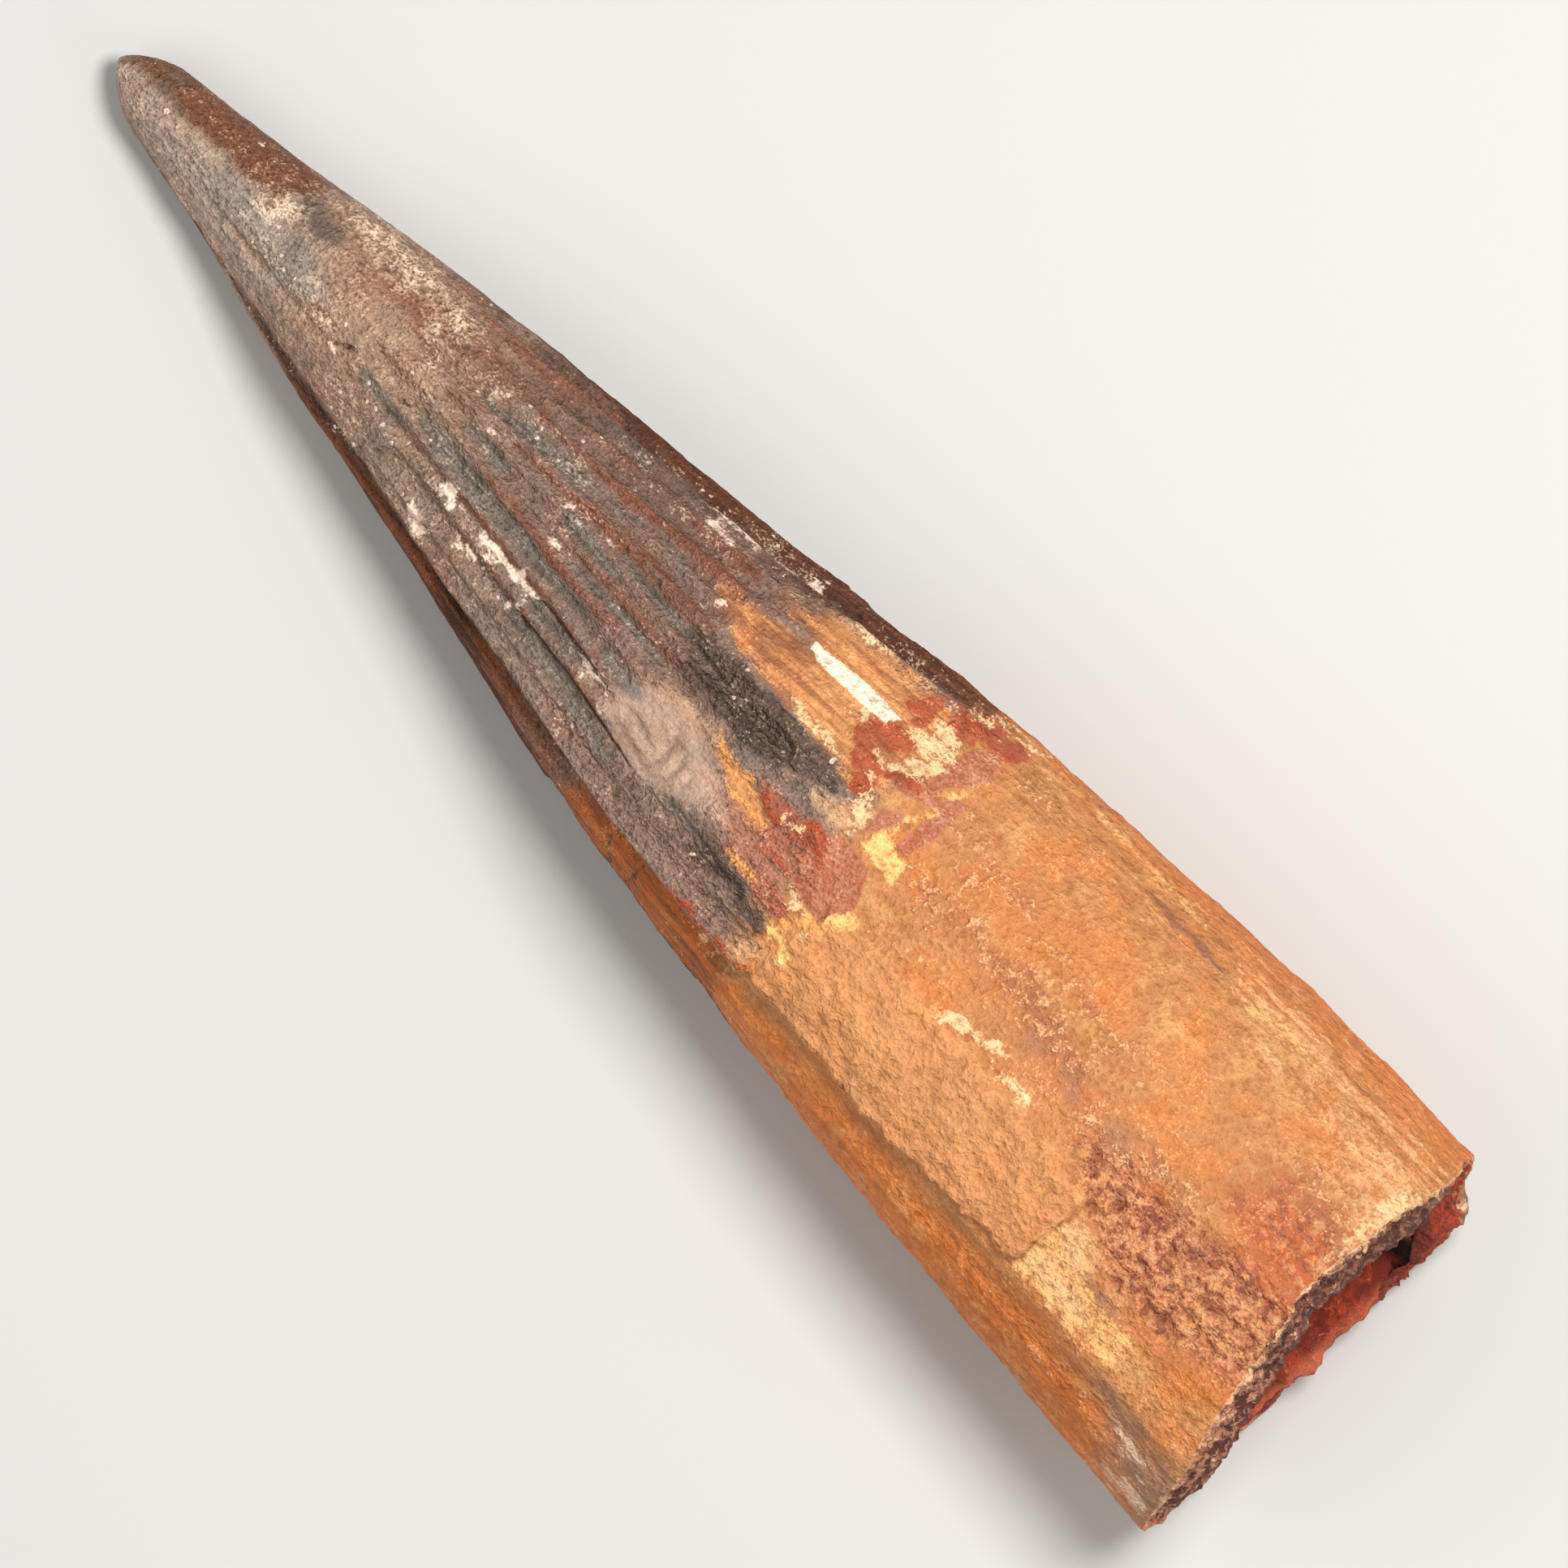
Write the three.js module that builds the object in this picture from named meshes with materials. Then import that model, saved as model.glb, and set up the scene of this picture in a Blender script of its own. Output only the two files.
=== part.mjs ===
// A fossil Spinosaurus tooth that lies on its side. It is one grown tooth, crown and root
// together, with a hollow root that was filled by red sandstone before it broke off at the base.
// Millimetres. The axis runs from the tip to the broken base along +X, +Y is across the tooth
// and +Z is up. Both solids are lathed and then worn into shape vertex by vertex.
import * as THREE from "three";
import { mergeVertices } from "three/addons/utils/BufferGeometryUtils.js";

// Size of the tooth. Stations are shares of LENGTH, counted from the tip.
const LENGTH = 120;
const STATIONS = [0, 0.1, 0.2, 0.35, 0.45, 0.55, 0.7, 0.85, 1];
const HALF_WIDTHS = [2.15, 4.0, 6.45, 9.3, 11.2, 13.2, 15.25, 16.6, 17.25];
const TIP_DOME = 4.2; // length of the worn end of the tip
const TIP_POINT = 0.7; // 0.5 makes the tip a round dome, and 1 a sharp point
const DEPTH_ABOVE = 0.82; // half depth above the axis, as a share of the half width
const DEPTH_BELOW = 0.78;
const CROWN_WEAR = 0.3; // how far the underside is flattened
const ROOT_WEAR = 0.85;
const ROOT_WEAR_START = 0.55;
const ROOT_WEAR_FULL = 0.68;
const TIP_LIFT = 1.3; // the tip curves up off the surface
const TIP_LIFT_END = 0.22;
const SIDE_BULGE = 0.5; // the middle of the tooth leans a little to -Y
const BULGE_STATION = 0.49;
const BULGE_SPREAD = 0.13;

// The two cutting edges, or carinae. Angles are in degrees round the axis from +Y towards +Z.
const FRONT_CARINA = 146.25;
const BACK_CARINA = 326.25;
const CARINA_STATIONS = [0, 0.1, 0.24, 0.45, 0.6, 0.75, 1];
const CARINA_ANGLES = [166, 164, 153, 144, 140, 136, 135];
const CARINA_REACH = 80; // the columns within this angle turn with the front carina
const CARINA_START = 0.04;
const CARINA_FULL = 0.2;
const CARINA_HEIGHT = 0.5;
const CARINA_WIDTH = 3;
const BACK_CARINA_SHARE = 0.7;
const CARINA_GROOVE = 0.55; // depth of the hollow below the ledge
const GROOVE_OFFSET = 9;
const GROOVE_WIDTH = 5;
const SHOULDER_SHARE = 0.45; // how much of the ledge goes on along the root

// Flutes of the crown's enamel.
const FLUTES = 24;
const FLUTE_DEPTH = 0.55;
const FLUTES_START = 0.2;
const FLUTES_FULL = 0.33;
const FLUTE_GAP = 7; // flutes fade out this many degrees from a carina
const SIDE_FLUTES = 0.45; // share of their depth on the side below the front carina
const SIDE_FLUTES_END = 236;

// The enamel ends in a low ragged ledge where the root begins.
const ENAMEL_END = 0.612;
const ENAMEL_THICKNESS = 0.32;
const ENAMEL_RAGGED = 1.5;
const EDGE_HALF_STEP = 0.3;

// How far the outer edge of the broken base reaches past LENGTH, by the angle round the axis.
const RIM_EDGE = [
  [0, -1.7],
  [32, -1.6],
  [54, -2.4],
  [76, -3.0],
  [84, -3.1],
  [91, -2.2],
  [107, -1.5],
  [122, -0.5],
  [135, 0.5],
  [151, 1.0],
  [185, 1.9],
  [209, 2.2],
  [223, 2.3],
  [232, 1.9],
  [238, 1.0],
  [247, 1.6],
  [253, 1.7],
  [270, 0.8],
  [285, 1.35],
  [315, 1.3],
  [325, 1.1],
  [333, -0.7],
];
const RIM_START = 0.8;
const RIM_WALL = 3.6; // thickness of the broken wall
const UPPER_SLANT = 1.7; // the broken face leans out from its outer edge to its inner edge
const LOWER_SLANT = -0.4;
const RIM_ROUGHNESS = 0.35;

// The hollow of the root. Its walls close in along the tooth by these shares.
const CAVITY_DEPTH = 21;
const CAVITY_STEPS = [0, 0.14, 0.45, 0.8, 1];
const CAVITY_SHARES = [1, 0.93, 0.68, 0.36, 0];

// The sandstone in it, which has broken away under the upper rim.
const FILL_GAP = 0.4;
const FILL_REACH = 1.4; // past LENGTH, along the lower wall
const FILL_TOP_RECESS = 11.5;
const FILL_SIDE_RECESS = 1.5; // deeper still on the +Y side
const FILL_ROUGHNESS = 0.45;
const FILL_WALL_SHARES = [1, 0.78, 0.5, 0.22, 0];
const FILL_FACE_SHARES = [0.8, 0.52, 0.26, 0];
const LIP_STEPS = [0.01, 0.9]; // the sandstone's face meets the wall between these steps
const LIP_ROUNDS = 4;

// Shallow patches of the upper side: centre, half length, half width, turn and rise.
const PATCHES = [
  { x: 89, y: -7.7, along: 13.6, across: 4.1, turn: 0, rise: 0.75 }, // ochre crust on the root
  { x: 59.5, y: -4.2, along: 4.6, across: 3.1, turn: 0, rise: -0.45 }, // smooth spall
  { x: 64, y: 7.4, along: 8.8, across: 4.0, turn: 3, rise: -0.45 }, // lost enamel, +Y side
  { x: 17.6, y: -2.7, along: 5.6, across: 0.6, turn: -3, rise: -0.35 }, // groove near the tip
  { x: 24.5, y: 4.6, along: 7, across: 1.2, turn: 4, rise: 0.25 }, // sand stuck to the crown
  { x: 29.5, y: -2.2, along: 4, across: 0.9, turn: -5, rise: -0.3 }, // chipped enamel
  { x: 107, y: -4.2, along: 10, across: 3.4, turn: -6, rise: -0.3 }, // porous hollow of the root
  { x: 112.5, y: 4, along: 4.5, across: 3.2, turn: 0, rise: 0.25 }, // swelling near the rim
];
const PATCH_EDGE = [0.8, 1.1];
const PATCH_SQUARENESS = 3;

// Pits and chips: centre, radius and depth. Those of the underside can't be seen from above.
const UPPER_PITS = [
  { x: 1.2, y: -1.3, radius: 1.3, depth: 0.7 },
  { x: 115.8, y: -3.2, radius: 1.3, depth: 1.0 },
  { x: 116.2, y: -0.9, radius: 1.2, depth: 1.0 },
  { x: 113.3, y: -3.7, radius: 1.2, depth: 0.6 },
  { x: 111.6, y: -6.5, radius: 1.1, depth: 0.45 },
  { x: 104.1, y: -3.6, radius: 1.3, depth: 0.55 },
  { x: 103.2, y: -5.2, radius: 1.0, depth: 0.5 },
];
const LOWER_PITS = [
  { x: 38.5, y: 3.0, radius: 1.5, depth: 0.4 },
  { x: 84, y: 8.5, radius: 2.2, depth: 0.5 },
  { x: 104, y: -9.5, radius: 2.4, depth: 0.6 },
];

// Unevenness of the surfaces, as the most that it moves them.
const CROWN_UNEVENNESS = 0.14;
const ROOT_UNEVENNESS = 0.28;

// Fineness of the solids.
const TOOTH_COLUMNS = 4 * FLUTES;
const FILL_COLUMNS = 48;
const DOME_ROWS = 5;
const CROWN_ROWS = 17;
const ROOT_ROWS = 11;
const CROWN_RAGGED_FROM = 0.8; // the crown's rows follow the ragged edge from this share on
const ROOT_RAGGED_TO = 0.3;
const MERGE_DISTANCE = 1e-4;

const { clamp, degToRad, euclideanModulo, lerp, smoothstep } = THREE.MathUtils;

// A smooth curve through values at the given places.
function curveThrough(places, values) {
  const curve = new THREE.CubicInterpolant(places, values, 1);
  return (place) => curve.evaluate(place)[0];
}

// Straight lines through values at the given places.
function linesThrough(places, values) {
  const lines = new THREE.LinearInterpolant(places, values, 1);
  return (place) => lines.evaluate(place)[0];
}

const halfWidthAt = curveThrough(STATIONS, HALF_WIDTHS);
const carinaAngleAt = curveThrough(CARINA_STATIONS, CARINA_ANGLES);
const cavityShareAt = linesThrough(CAVITY_STEPS, CAVITY_SHARES);
const rimRing = [...RIM_EDGE, [360, RIM_EDGE[0][1]]];
const rimReachAt = linesThrough(
  rimRing.map((point) => point[0]),
  rimRing.map((point) => point[1]),
);

// Smallest signed turn from one angle to another, in degrees.
function turnBetween(from, to) {
  return euclideanModulo(to - from + 180, 360) - 180;
}

// A smooth hump of height 1 at distance 0.
function hump(distance, width) {
  return Math.exp(-((distance / width) ** 2));
}

// Gentle unevenness between -1 and 1, at a place along the tooth and an angle round it.
function unevenness(x, angle) {
  const a = degToRad(angle);
  const long = Math.sin(0.11 * x + 3 * a) * Math.cos(0.07 * x - 2 * a + 1.3);
  const short = Math.sin(0.43 * x - 7 * a + 0.6) * Math.cos(0.31 * x + 5 * a);
  return 0.6 * long + 0.4 * short;
}

// Half widths and centre of the oval section at x.
function sectionAt(x) {
  const station = clamp(x / LENGTH, 0, 1);
  const dome = x < TIP_DOME ? (1 - (1 - x / TIP_DOME) ** 2) ** TIP_POINT : 1;
  const taper = halfWidthAt(station);
  const lift = TIP_LIFT * Math.max(0, 1 - station / TIP_LIFT_END) ** 2;
  const wear = lerp(CROWN_WEAR, ROOT_WEAR, smoothstep(station, ROOT_WEAR_START, ROOT_WEAR_FULL));
  return {
    dome,
    across: taper * dome,
    above: DEPTH_ABOVE * taper * dome,
    below: DEPTH_BELOW * taper * dome,
    centreY: -SIDE_BULGE * hump(station - BULGE_STATION, BULGE_SPREAD),
    centreZ: DEPTH_BELOW * taper - wear + lift,
  };
}

// A point of the section at x, moved out from the oval. The relief ends at the very tip.
function sectionPoint(x, angle, relief) {
  const section = sectionAt(x);
  const a = degToRad(angle);
  const depth = Math.sin(a) > 0 ? section.above : section.below;
  const outward = relief * section.dome;
  const y = section.centreY + (section.across + outward) * Math.cos(a);
  const z = section.centreZ + (depth + outward) * Math.sin(a);
  return new THREE.Vector3(x, y, z);
}

// Columns near the front carina turn with it, so that the flutes run along it.
function turnedAngle(x, column) {
  const distance = Math.abs(turnBetween(FRONT_CARINA, column));
  const turn = carinaAngleAt(clamp(x / LENGTH, 0, 1)) - FRONT_CARINA;
  const share = 0.5 + 0.5 * Math.cos(Math.PI * Math.min(1, distance / CARINA_REACH));
  return column + turn * share;
}

// How far the enamel's edge is from its mean place.
function enamelEdgeShift(column) {
  const a = degToRad(column);
  return ENAMEL_RAGGED * (0.7 * Math.sin(3 * a + 0.4) + 0.3 * Math.sin(8 * a));
}

function fluteRelief(station, column) {
  const front = Math.abs(turnBetween(FRONT_CARINA, column));
  const back = Math.abs(turnBetween(BACK_CARINA, column));
  const clear = smoothstep(Math.min(front, back), 0.5 * FLUTE_GAP, 1.5 * FLUTE_GAP);
  const onSide = column > FRONT_CARINA && column < SIDE_FLUTES_END;
  const depth = FLUTE_DEPTH * smoothstep(station, FLUTES_START, FLUTES_FULL);
  const wave = 0.5 - 0.5 * Math.cos(FLUTES * degToRad(column));
  return -depth * clear * wave * (onSide ? SIDE_FLUTES : 1);
}

function carinaRelief(station, column) {
  const front = turnBetween(FRONT_CARINA, column);
  const back = turnBetween(BACK_CARINA, column);
  const crests = hump(front, CARINA_WIDTH) + BACK_CARINA_SHARE * hump(back, CARINA_WIDTH);
  const groove = hump(front - GROOVE_OFFSET, GROOVE_WIDTH);
  const relief = CARINA_HEIGHT * crests - CARINA_GROOVE * groove;
  return smoothstep(station, CARINA_START, CARINA_FULL) * relief;
}

// A patch is a low plateau or hollow whose outline is a rounded rectangle.
function patchRelief(point, patch) {
  const turn = degToRad(patch.turn);
  const dx = point.x - patch.x;
  const dy = point.y - patch.y;
  const along = (dx * Math.cos(turn) + dy * Math.sin(turn)) / patch.along;
  const across = (dy * Math.cos(turn) - dx * Math.sin(turn)) / patch.across;
  const power = PATCH_SQUARENESS;
  const reach = (Math.abs(along) ** power + Math.abs(across) ** power) ** (1 / power);
  return patch.rise * (1 - smoothstep(reach, ...PATCH_EDGE));
}

function pitRelief(point, pit) {
  const distance = Math.hypot(point.x - pit.x, point.y - pit.y);
  return -pit.depth * hump(distance, pit.radius);
}

function sumOf(things, reliefOf) {
  return things.reduce((sum, thing) => sum + reliefOf(thing), 0);
}

// Patches and pits are placed as seen from above or from below.
function placedRelief(point, fromAbove) {
  if (!fromAbove) {
    return sumOf(LOWER_PITS, (pit) => pitRelief(point, pit));
  }
  const patches = sumOf(PATCHES, (patch) => patchRelief(point, patch));
  return patches + sumOf(UPPER_PITS, (pit) => pitRelief(point, pit));
}

function crownRelief(station, column) {
  const uneven = CROWN_UNEVENNESS * unevenness(station * LENGTH, column);
  const worn = smoothstep(station, 0, CARINA_FULL);
  return fluteRelief(station, column) + carinaRelief(station, column) + worn * uneven;
}

function rootRelief(station, column) {
  const uneven = ROOT_UNEVENNESS * unevenness(station * LENGTH, column);
  return SHOULDER_SHARE * carinaRelief(station, column) + uneven - ENAMEL_THICKNESS;
}

// A point of the outer surface, where the relief is the crown's or the root's.
function outerPoint(x, column, reliefAt) {
  const angle = turnedAngle(x, column);
  const fromAbove = Math.sin(degToRad(angle)) > 0;
  const placed = placedRelief(sectionPoint(x, angle, 0), fromAbove);
  return sectionPoint(x, angle, placed + reliefAt(x / LENGTH, column));
}

function rimAt(column) {
  const angle = euclideanModulo(turnedAngle(LENGTH, column), 360);
  return LENGTH + rimReachAt(angle);
}

// A point of the broken wall, from its outer edge at share 0 to its inner edge at share 1.
function brokenFacePoint(column, share) {
  const rim = rimAt(column);
  const angle = turnedAngle(rim, column);
  const point = sectionPoint(rim, angle, -ENAMEL_THICKNESS - share * RIM_WALL);
  const upward = Math.sin(degToRad(angle));
  const slant = upward > 0 ? UPPER_SLANT * upward : LOWER_SLANT * -upward;
  point.x += share * slant + RIM_ROUGHNESS * unevenness(40 * share, 9 * column);
  return point;
}

// A point of the hollow's wall, from its mouth at step 0 to its end at step 1. The gap holds
// the sandstone off the wall.
function cavityPoint(column, step, gap) {
  const mouth = brokenFacePoint(column, 1);
  const { centreY, centreZ } = sectionAt(LENGTH);
  const out = new THREE.Vector2(mouth.y - centreY, mouth.z - centreZ);
  out.setLength(Math.max(0, out.length() * cavityShareAt(step) - gap));
  const x = lerp(mouth.x, LENGTH - CAVITY_DEPTH + gap, step);
  return new THREE.Vector3(x, centreY + out.x, centreZ + out.y);
}

// x of the sandstone's broken face at a place across the mouth.
function fillFaceAt(y, z) {
  const { across, above, centreY, centreZ } = sectionAt(LENGTH);
  const height = (z - centreZ) / (above - RIM_WALL);
  const side = (y - centreY) / (across - RIM_WALL);
  const upward = smoothstep(height, -0.95, 0.9);
  const recess = FILL_TOP_RECESS + FILL_SIDE_RECESS * smoothstep(side, -0.2, 0.8);
  return LENGTH + FILL_REACH - upward * recess + FILL_ROUGHNESS * unevenness(6 * y, 25 * z);
}

// The step along the hollow where its wall meets the sandstone's face.
function fillLipStep(column) {
  const mouth = cavityPoint(column, 0, FILL_GAP);
  const end = cavityPoint(column, 1, FILL_GAP);
  let step = 0;
  for (let i = 0; i < LIP_ROUNDS; i++) {
    const wall = cavityPoint(column, step, FILL_GAP);
    step = clamp((mouth.x - fillFaceAt(wall.y, wall.z)) / (mouth.x - end.x), ...LIP_STEPS);
  }
  return step;
}

// The profile's rows. Each is a function that places a point of it on a column.
function crownRows() {
  const dome = Array.from({ length: DOME_ROWS + 1 }, (_, i) => {
    const x = TIP_DOME * (1 - Math.cos((0.5 * Math.PI * i) / DOME_ROWS));
    return (column) => outerPoint(x, column, crownRelief);
  });
  const end = ENAMEL_END * LENGTH - EDGE_HALF_STEP;
  const crown = Array.from({ length: CROWN_ROWS }, (_, i) => {
    const share = (i + 1) / CROWN_ROWS;
    const mean = lerp(TIP_DOME, end, share);
    const ragged = smoothstep(share, CROWN_RAGGED_FROM, 1);
    return (column) => outerPoint(mean + ragged * enamelEdgeShift(column), column, crownRelief);
  });
  return [...dome, ...crown];
}

function rootRows() {
  const start = ENAMEL_END * LENGTH + EDGE_HALF_STEP;
  return Array.from({ length: ROOT_ROWS + 1 }, (_, i) => {
    const share = i / ROOT_ROWS;
    const mean = lerp(start, LENGTH, share);
    const ragged = 1 - smoothstep(share, 0, ROOT_RAGGED_TO);
    const broken = smoothstep(mean / LENGTH, RIM_START, 1);
    return (column) => {
      const reach = broken * (rimAt(column) - LENGTH);
      return outerPoint(mean + reach + ragged * enamelEdgeShift(column), column, rootRelief);
    };
  });
}

function toothRows() {
  const face = [0.5, 1].map((share) => (column) => brokenFacePoint(column, share));
  const wall = CAVITY_STEPS.slice(1).map((step) => (column) => cavityPoint(column, step, 0));
  return [...crownRows(), ...rootRows(), ...face, ...wall];
}

function fillRows() {
  const wall = FILL_WALL_SHARES.map((share) => (column) => {
    return cavityPoint(column, lerp(fillLipStep(column), 1, share), FILL_GAP);
  });
  const face = FILL_FACE_SHARES.map((share) => (column) => {
    const lip = cavityPoint(column, fillLipStep(column), FILL_GAP);
    const { centreY, centreZ } = sectionAt(LENGTH);
    const y = lerp(centreY, lip.y, share);
    const z = lerp(centreZ, lip.z, share);
    return new THREE.Vector3(fillFaceAt(y, z), y, z);
  });
  return [...wall, ...face];
}

// A lathed solid whose vertices are then placed row by row. Its first and last rows are poles.
function wornLathe(rows, columns) {
  const profile = rows.map((row, i) => new THREE.Vector2(i % (rows.length - 1) ? 1 : 0, i));
  const geometry = new THREE.LatheGeometry(profile, columns);
  const position = geometry.getAttribute("position");
  for (let i = 0; i < position.count; i++) {
    const column = (360 * (Math.floor(i / rows.length) % columns)) / columns;
    const { x, y, z } = rows[i % rows.length](column);
    position.setXYZ(i, x, y, Math.max(0, z));
  }
  geometry.deleteAttribute("normal");
  geometry.deleteAttribute("uv");
  return mergeVertices(geometry, MERGE_DISTANCE);
}

function namedMesh(name, geometry, color, roughness) {
  geometry.computeVertexNormals();
  const material = new THREE.MeshStandardMaterial({ color, roughness, metalness: 0 });
  const mesh = new THREE.Mesh(geometry, material);
  mesh.name = name;
  return mesh;
}

const group = new THREE.Group();
group.add(
  namedMesh("tooth", wornLathe(toothRows(), TOOTH_COLUMNS), 0xb5702f, 0.45),
  namedMesh("sediment_fill", wornLathe(fillRows(), FILL_COLUMNS), 0x9c3b22, 0.9),
);

// The origin is the middle of the bottom of the bounding box.
const bounds = new THREE.Box3().setFromObject(group);
const middle = bounds.getCenter(new THREE.Vector3());
group.position.set(-middle.x, -middle.y, -bounds.min.z);

export default group;
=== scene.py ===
"""A fossil Spinosaurus tooth that lies on its side, with the red sandstone left in its root.

Both pieces are lathed round the tooth's axis and then worn into shape vertex by vertex. The
shaping code works in millimetres, with x from the tip, y across the tooth and z up. Marks and
stains are placed as seen from above; the hidden underside carries the same ones, turned over
and moved along.
"""

import math
from collections import namedtuple
from types import SimpleNamespace

import bmesh
import bpy
import numpy as np
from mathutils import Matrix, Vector, noise


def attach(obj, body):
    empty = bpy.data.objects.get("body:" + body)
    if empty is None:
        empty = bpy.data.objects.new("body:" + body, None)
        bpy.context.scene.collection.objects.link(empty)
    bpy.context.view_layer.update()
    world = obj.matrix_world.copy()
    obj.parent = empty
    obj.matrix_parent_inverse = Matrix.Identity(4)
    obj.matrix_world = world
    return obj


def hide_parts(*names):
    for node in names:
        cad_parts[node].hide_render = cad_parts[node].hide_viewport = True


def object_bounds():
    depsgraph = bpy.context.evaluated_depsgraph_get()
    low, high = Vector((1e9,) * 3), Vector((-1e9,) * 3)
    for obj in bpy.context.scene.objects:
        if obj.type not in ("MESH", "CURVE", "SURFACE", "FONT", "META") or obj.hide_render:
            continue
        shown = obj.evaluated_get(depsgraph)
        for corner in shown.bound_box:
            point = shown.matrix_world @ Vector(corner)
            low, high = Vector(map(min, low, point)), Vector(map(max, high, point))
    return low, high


bl_info = {
    "name": "Fossil Spinosaurus Tooth",
    "version": (1, 0, 0),
    "blender": (4, 5, 0),
    "location": "View3D > Sidebar > Fossil",
    "description": "Adds a worn fossil tooth, its sandstone filling and a plain studio stage",
    "category": "Add Mesh",
}

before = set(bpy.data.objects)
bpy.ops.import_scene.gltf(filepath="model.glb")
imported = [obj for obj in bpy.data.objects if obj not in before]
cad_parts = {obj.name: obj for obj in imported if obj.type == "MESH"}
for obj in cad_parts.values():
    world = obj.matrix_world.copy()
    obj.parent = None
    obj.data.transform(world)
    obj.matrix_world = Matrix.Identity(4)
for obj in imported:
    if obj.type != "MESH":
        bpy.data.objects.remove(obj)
CAD_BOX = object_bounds()
MM = 0.001
POLE_MERGE = 1e-4

# Driving dimensions of the tooth in millimetres. Stations are shares of LENGTH from the tip.
LENGTH = 120.0
STATIONS = [0, 0.1, 0.2, 0.35, 0.45, 0.55, 0.7, 0.85, 1]
HALF_WIDTHS = [2.15, 4.0, 6.45, 9.3, 11.2, 13.2, 15.25, 16.6, 17.25]
TIP_DOME = 4.2
TIP_POINT = 0.7
DEPTH_ABOVE = 0.82
DEPTH_BELOW = 0.78
CROWN_WEAR = 0.3
ROOT_WEAR = 0.85
ROOT_WEAR_STATIONS = (0.55, 0.68)
TIP_LIFT = 1.3
TIP_LIFT_END = 0.22
SIDE_BULGE = 0.5
BULGE_STATION = 0.49
BULGE_SPREAD = 0.13

# Cutting edges. Angles are in degrees round the axis from +Y towards +Z.
FRONT_CARINA = 146.25
BACK_CARINA = 326.25
CARINA_STATIONS = [0, 0.1, 0.24, 0.45, 0.6, 0.75, 1]
CARINA_ANGLES = [166, 164, 153, 144, 140, 136, 135]
CARINA_REACH = 80
CARINA_FADE_IN = (0.04, 0.2)
CARINA_HEIGHT = 0.5
CARINA_WIDTH = 3
BACK_CARINA_SHARE = 0.7
CARINA_GROOVE = 0.75
GROOVE_OFFSET = 9
GROOVE_WIDTH = 5
SHOULDER_SHARE = 0.45

# Flutes of the enamel. Those of the upper side are placed one by one, further down.
FLUTES = 24
FLUTES_FADE_IN = (0.2, 0.33)
FLUTE_GAP = 7
SIDE_FLUTES = 0.45
SIDE_FLUTES_END = 236
PLACED_FLUTES = (22, 44, 118, 140)
FINE_FLUTES = 96
FINE_FLUTE_DEPTH = 0.05
VALLEY_SLOPE = (-1.0, 0.2)

ENAMEL_END = 0.612
ENAMEL_THICKNESS = 0.32
ENAMEL_RAGGED = 1.5
ENAMEL_LEDGE = 0.22
ENAMEL_WANDER = 0.8

# How far the outer edge of the broken base reaches past LENGTH, by the angle round the axis.
RIM_EDGE = [
    (0, -1.7), (32, -1.6), (54, -2.4), (76, -3.0), (84, -3.1), (91, -2.2), (107, -1.5),
    (122, -0.5), (135, 0.5), (151, 1.0), (185, 1.9), (209, 2.2), (223, 2.3), (232, 1.9),
    (238, 1.0), (247, 1.6), (253, 1.7), (270, 0.8), (285, 1.35), (315, 1.3), (325, 1.1),
    (333, -0.7), (360, -1.7),
]
RIM_START = 0.8
RIM_WALL = 3.6
UPPER_SLANT = 1.7
LOWER_SLANT = -0.4
RIM_ROUGHNESS = 0.35
CRUMB_HEIGHT = 0.4
WALL_HOLE_SIZE = 0.8
WALL_HOLE_SLOPE = (0.12, 0.45)
WALL_HOLE_DEPTH = 0.6
SANDY_WALL_DEPTH = (-1.5, 1.0)
SANDY_WALL_SIDE = (-9.0, -7.5)

# The hollow of the root, and the sandstone in it.
CAVITY_DEPTH = 21
CAVITY_STEPS = [0, 0.14, 0.45, 0.8, 1]
CAVITY_SHARES = [1, 0.93, 0.68, 0.36, 0]
FILL_GAP = 0.25
FILL_REACH = 1.4
FILL_TOP_RECESS = 11.5
FILL_SIDE_RECESS = 1.5
FILL_ROUGHNESS = 0.45
FILL_SIDE_SPAN = (-0.2, 0.8)
FILL_HEIGHT_SPAN = (-0.95, 0.9)
LIP_ROUNDS = 6
LIP_LIMITS = (0.01, 0.9)
VOID_PLACE = (8.5, 6.8)
VOID_WIDTH = 1.4
VOID_DEPTH = 3.0

# Wear of the tooth's surface.
CROWN_UNEVENNESS = 0.14
ROOT_UNEVENNESS = 0.28
ROOT_LUMPS = 0.08
CRUST_LUMPS = 0.12
CRUST_GRAIN = 0.16
SAND_LUMPS = 0.1
SAND_GRAIN = 0.16
PORES_FADE_IN = (-1.0, 0.8)
PORE_SLOPE = (0.12, 0.55)
PORE_SHARE = 0.6
STREAKS_FADE_IN = (8, 32)
STAIN_WANDER = 0.5

# Fineness of the meshes. The body's rows are closer together where its detail is finer.
TOOTH_COLUMNS = 288
DOME_ROWS = 10
BODY_ROWS = [0, 105, 176, 214, 284]
BODY_PLACES = [TIP_DOME, 55, 80, 97, LENGTH]
OUTER_ROWS = DOME_ROWS + BODY_ROWS[-1]
FACE_ROWS = 12
CAVITY_ROWS = 16
FILL_COLUMNS = 168
FILL_WALL_ROWS = 22
FILL_FACE_ROWS = 40

# The underside's marks are those of the upper side, moved this far along and less raised.
UNDERSIDE_SHIFT = 3.5
UNDERSIDE_RISE = 0.35

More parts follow.
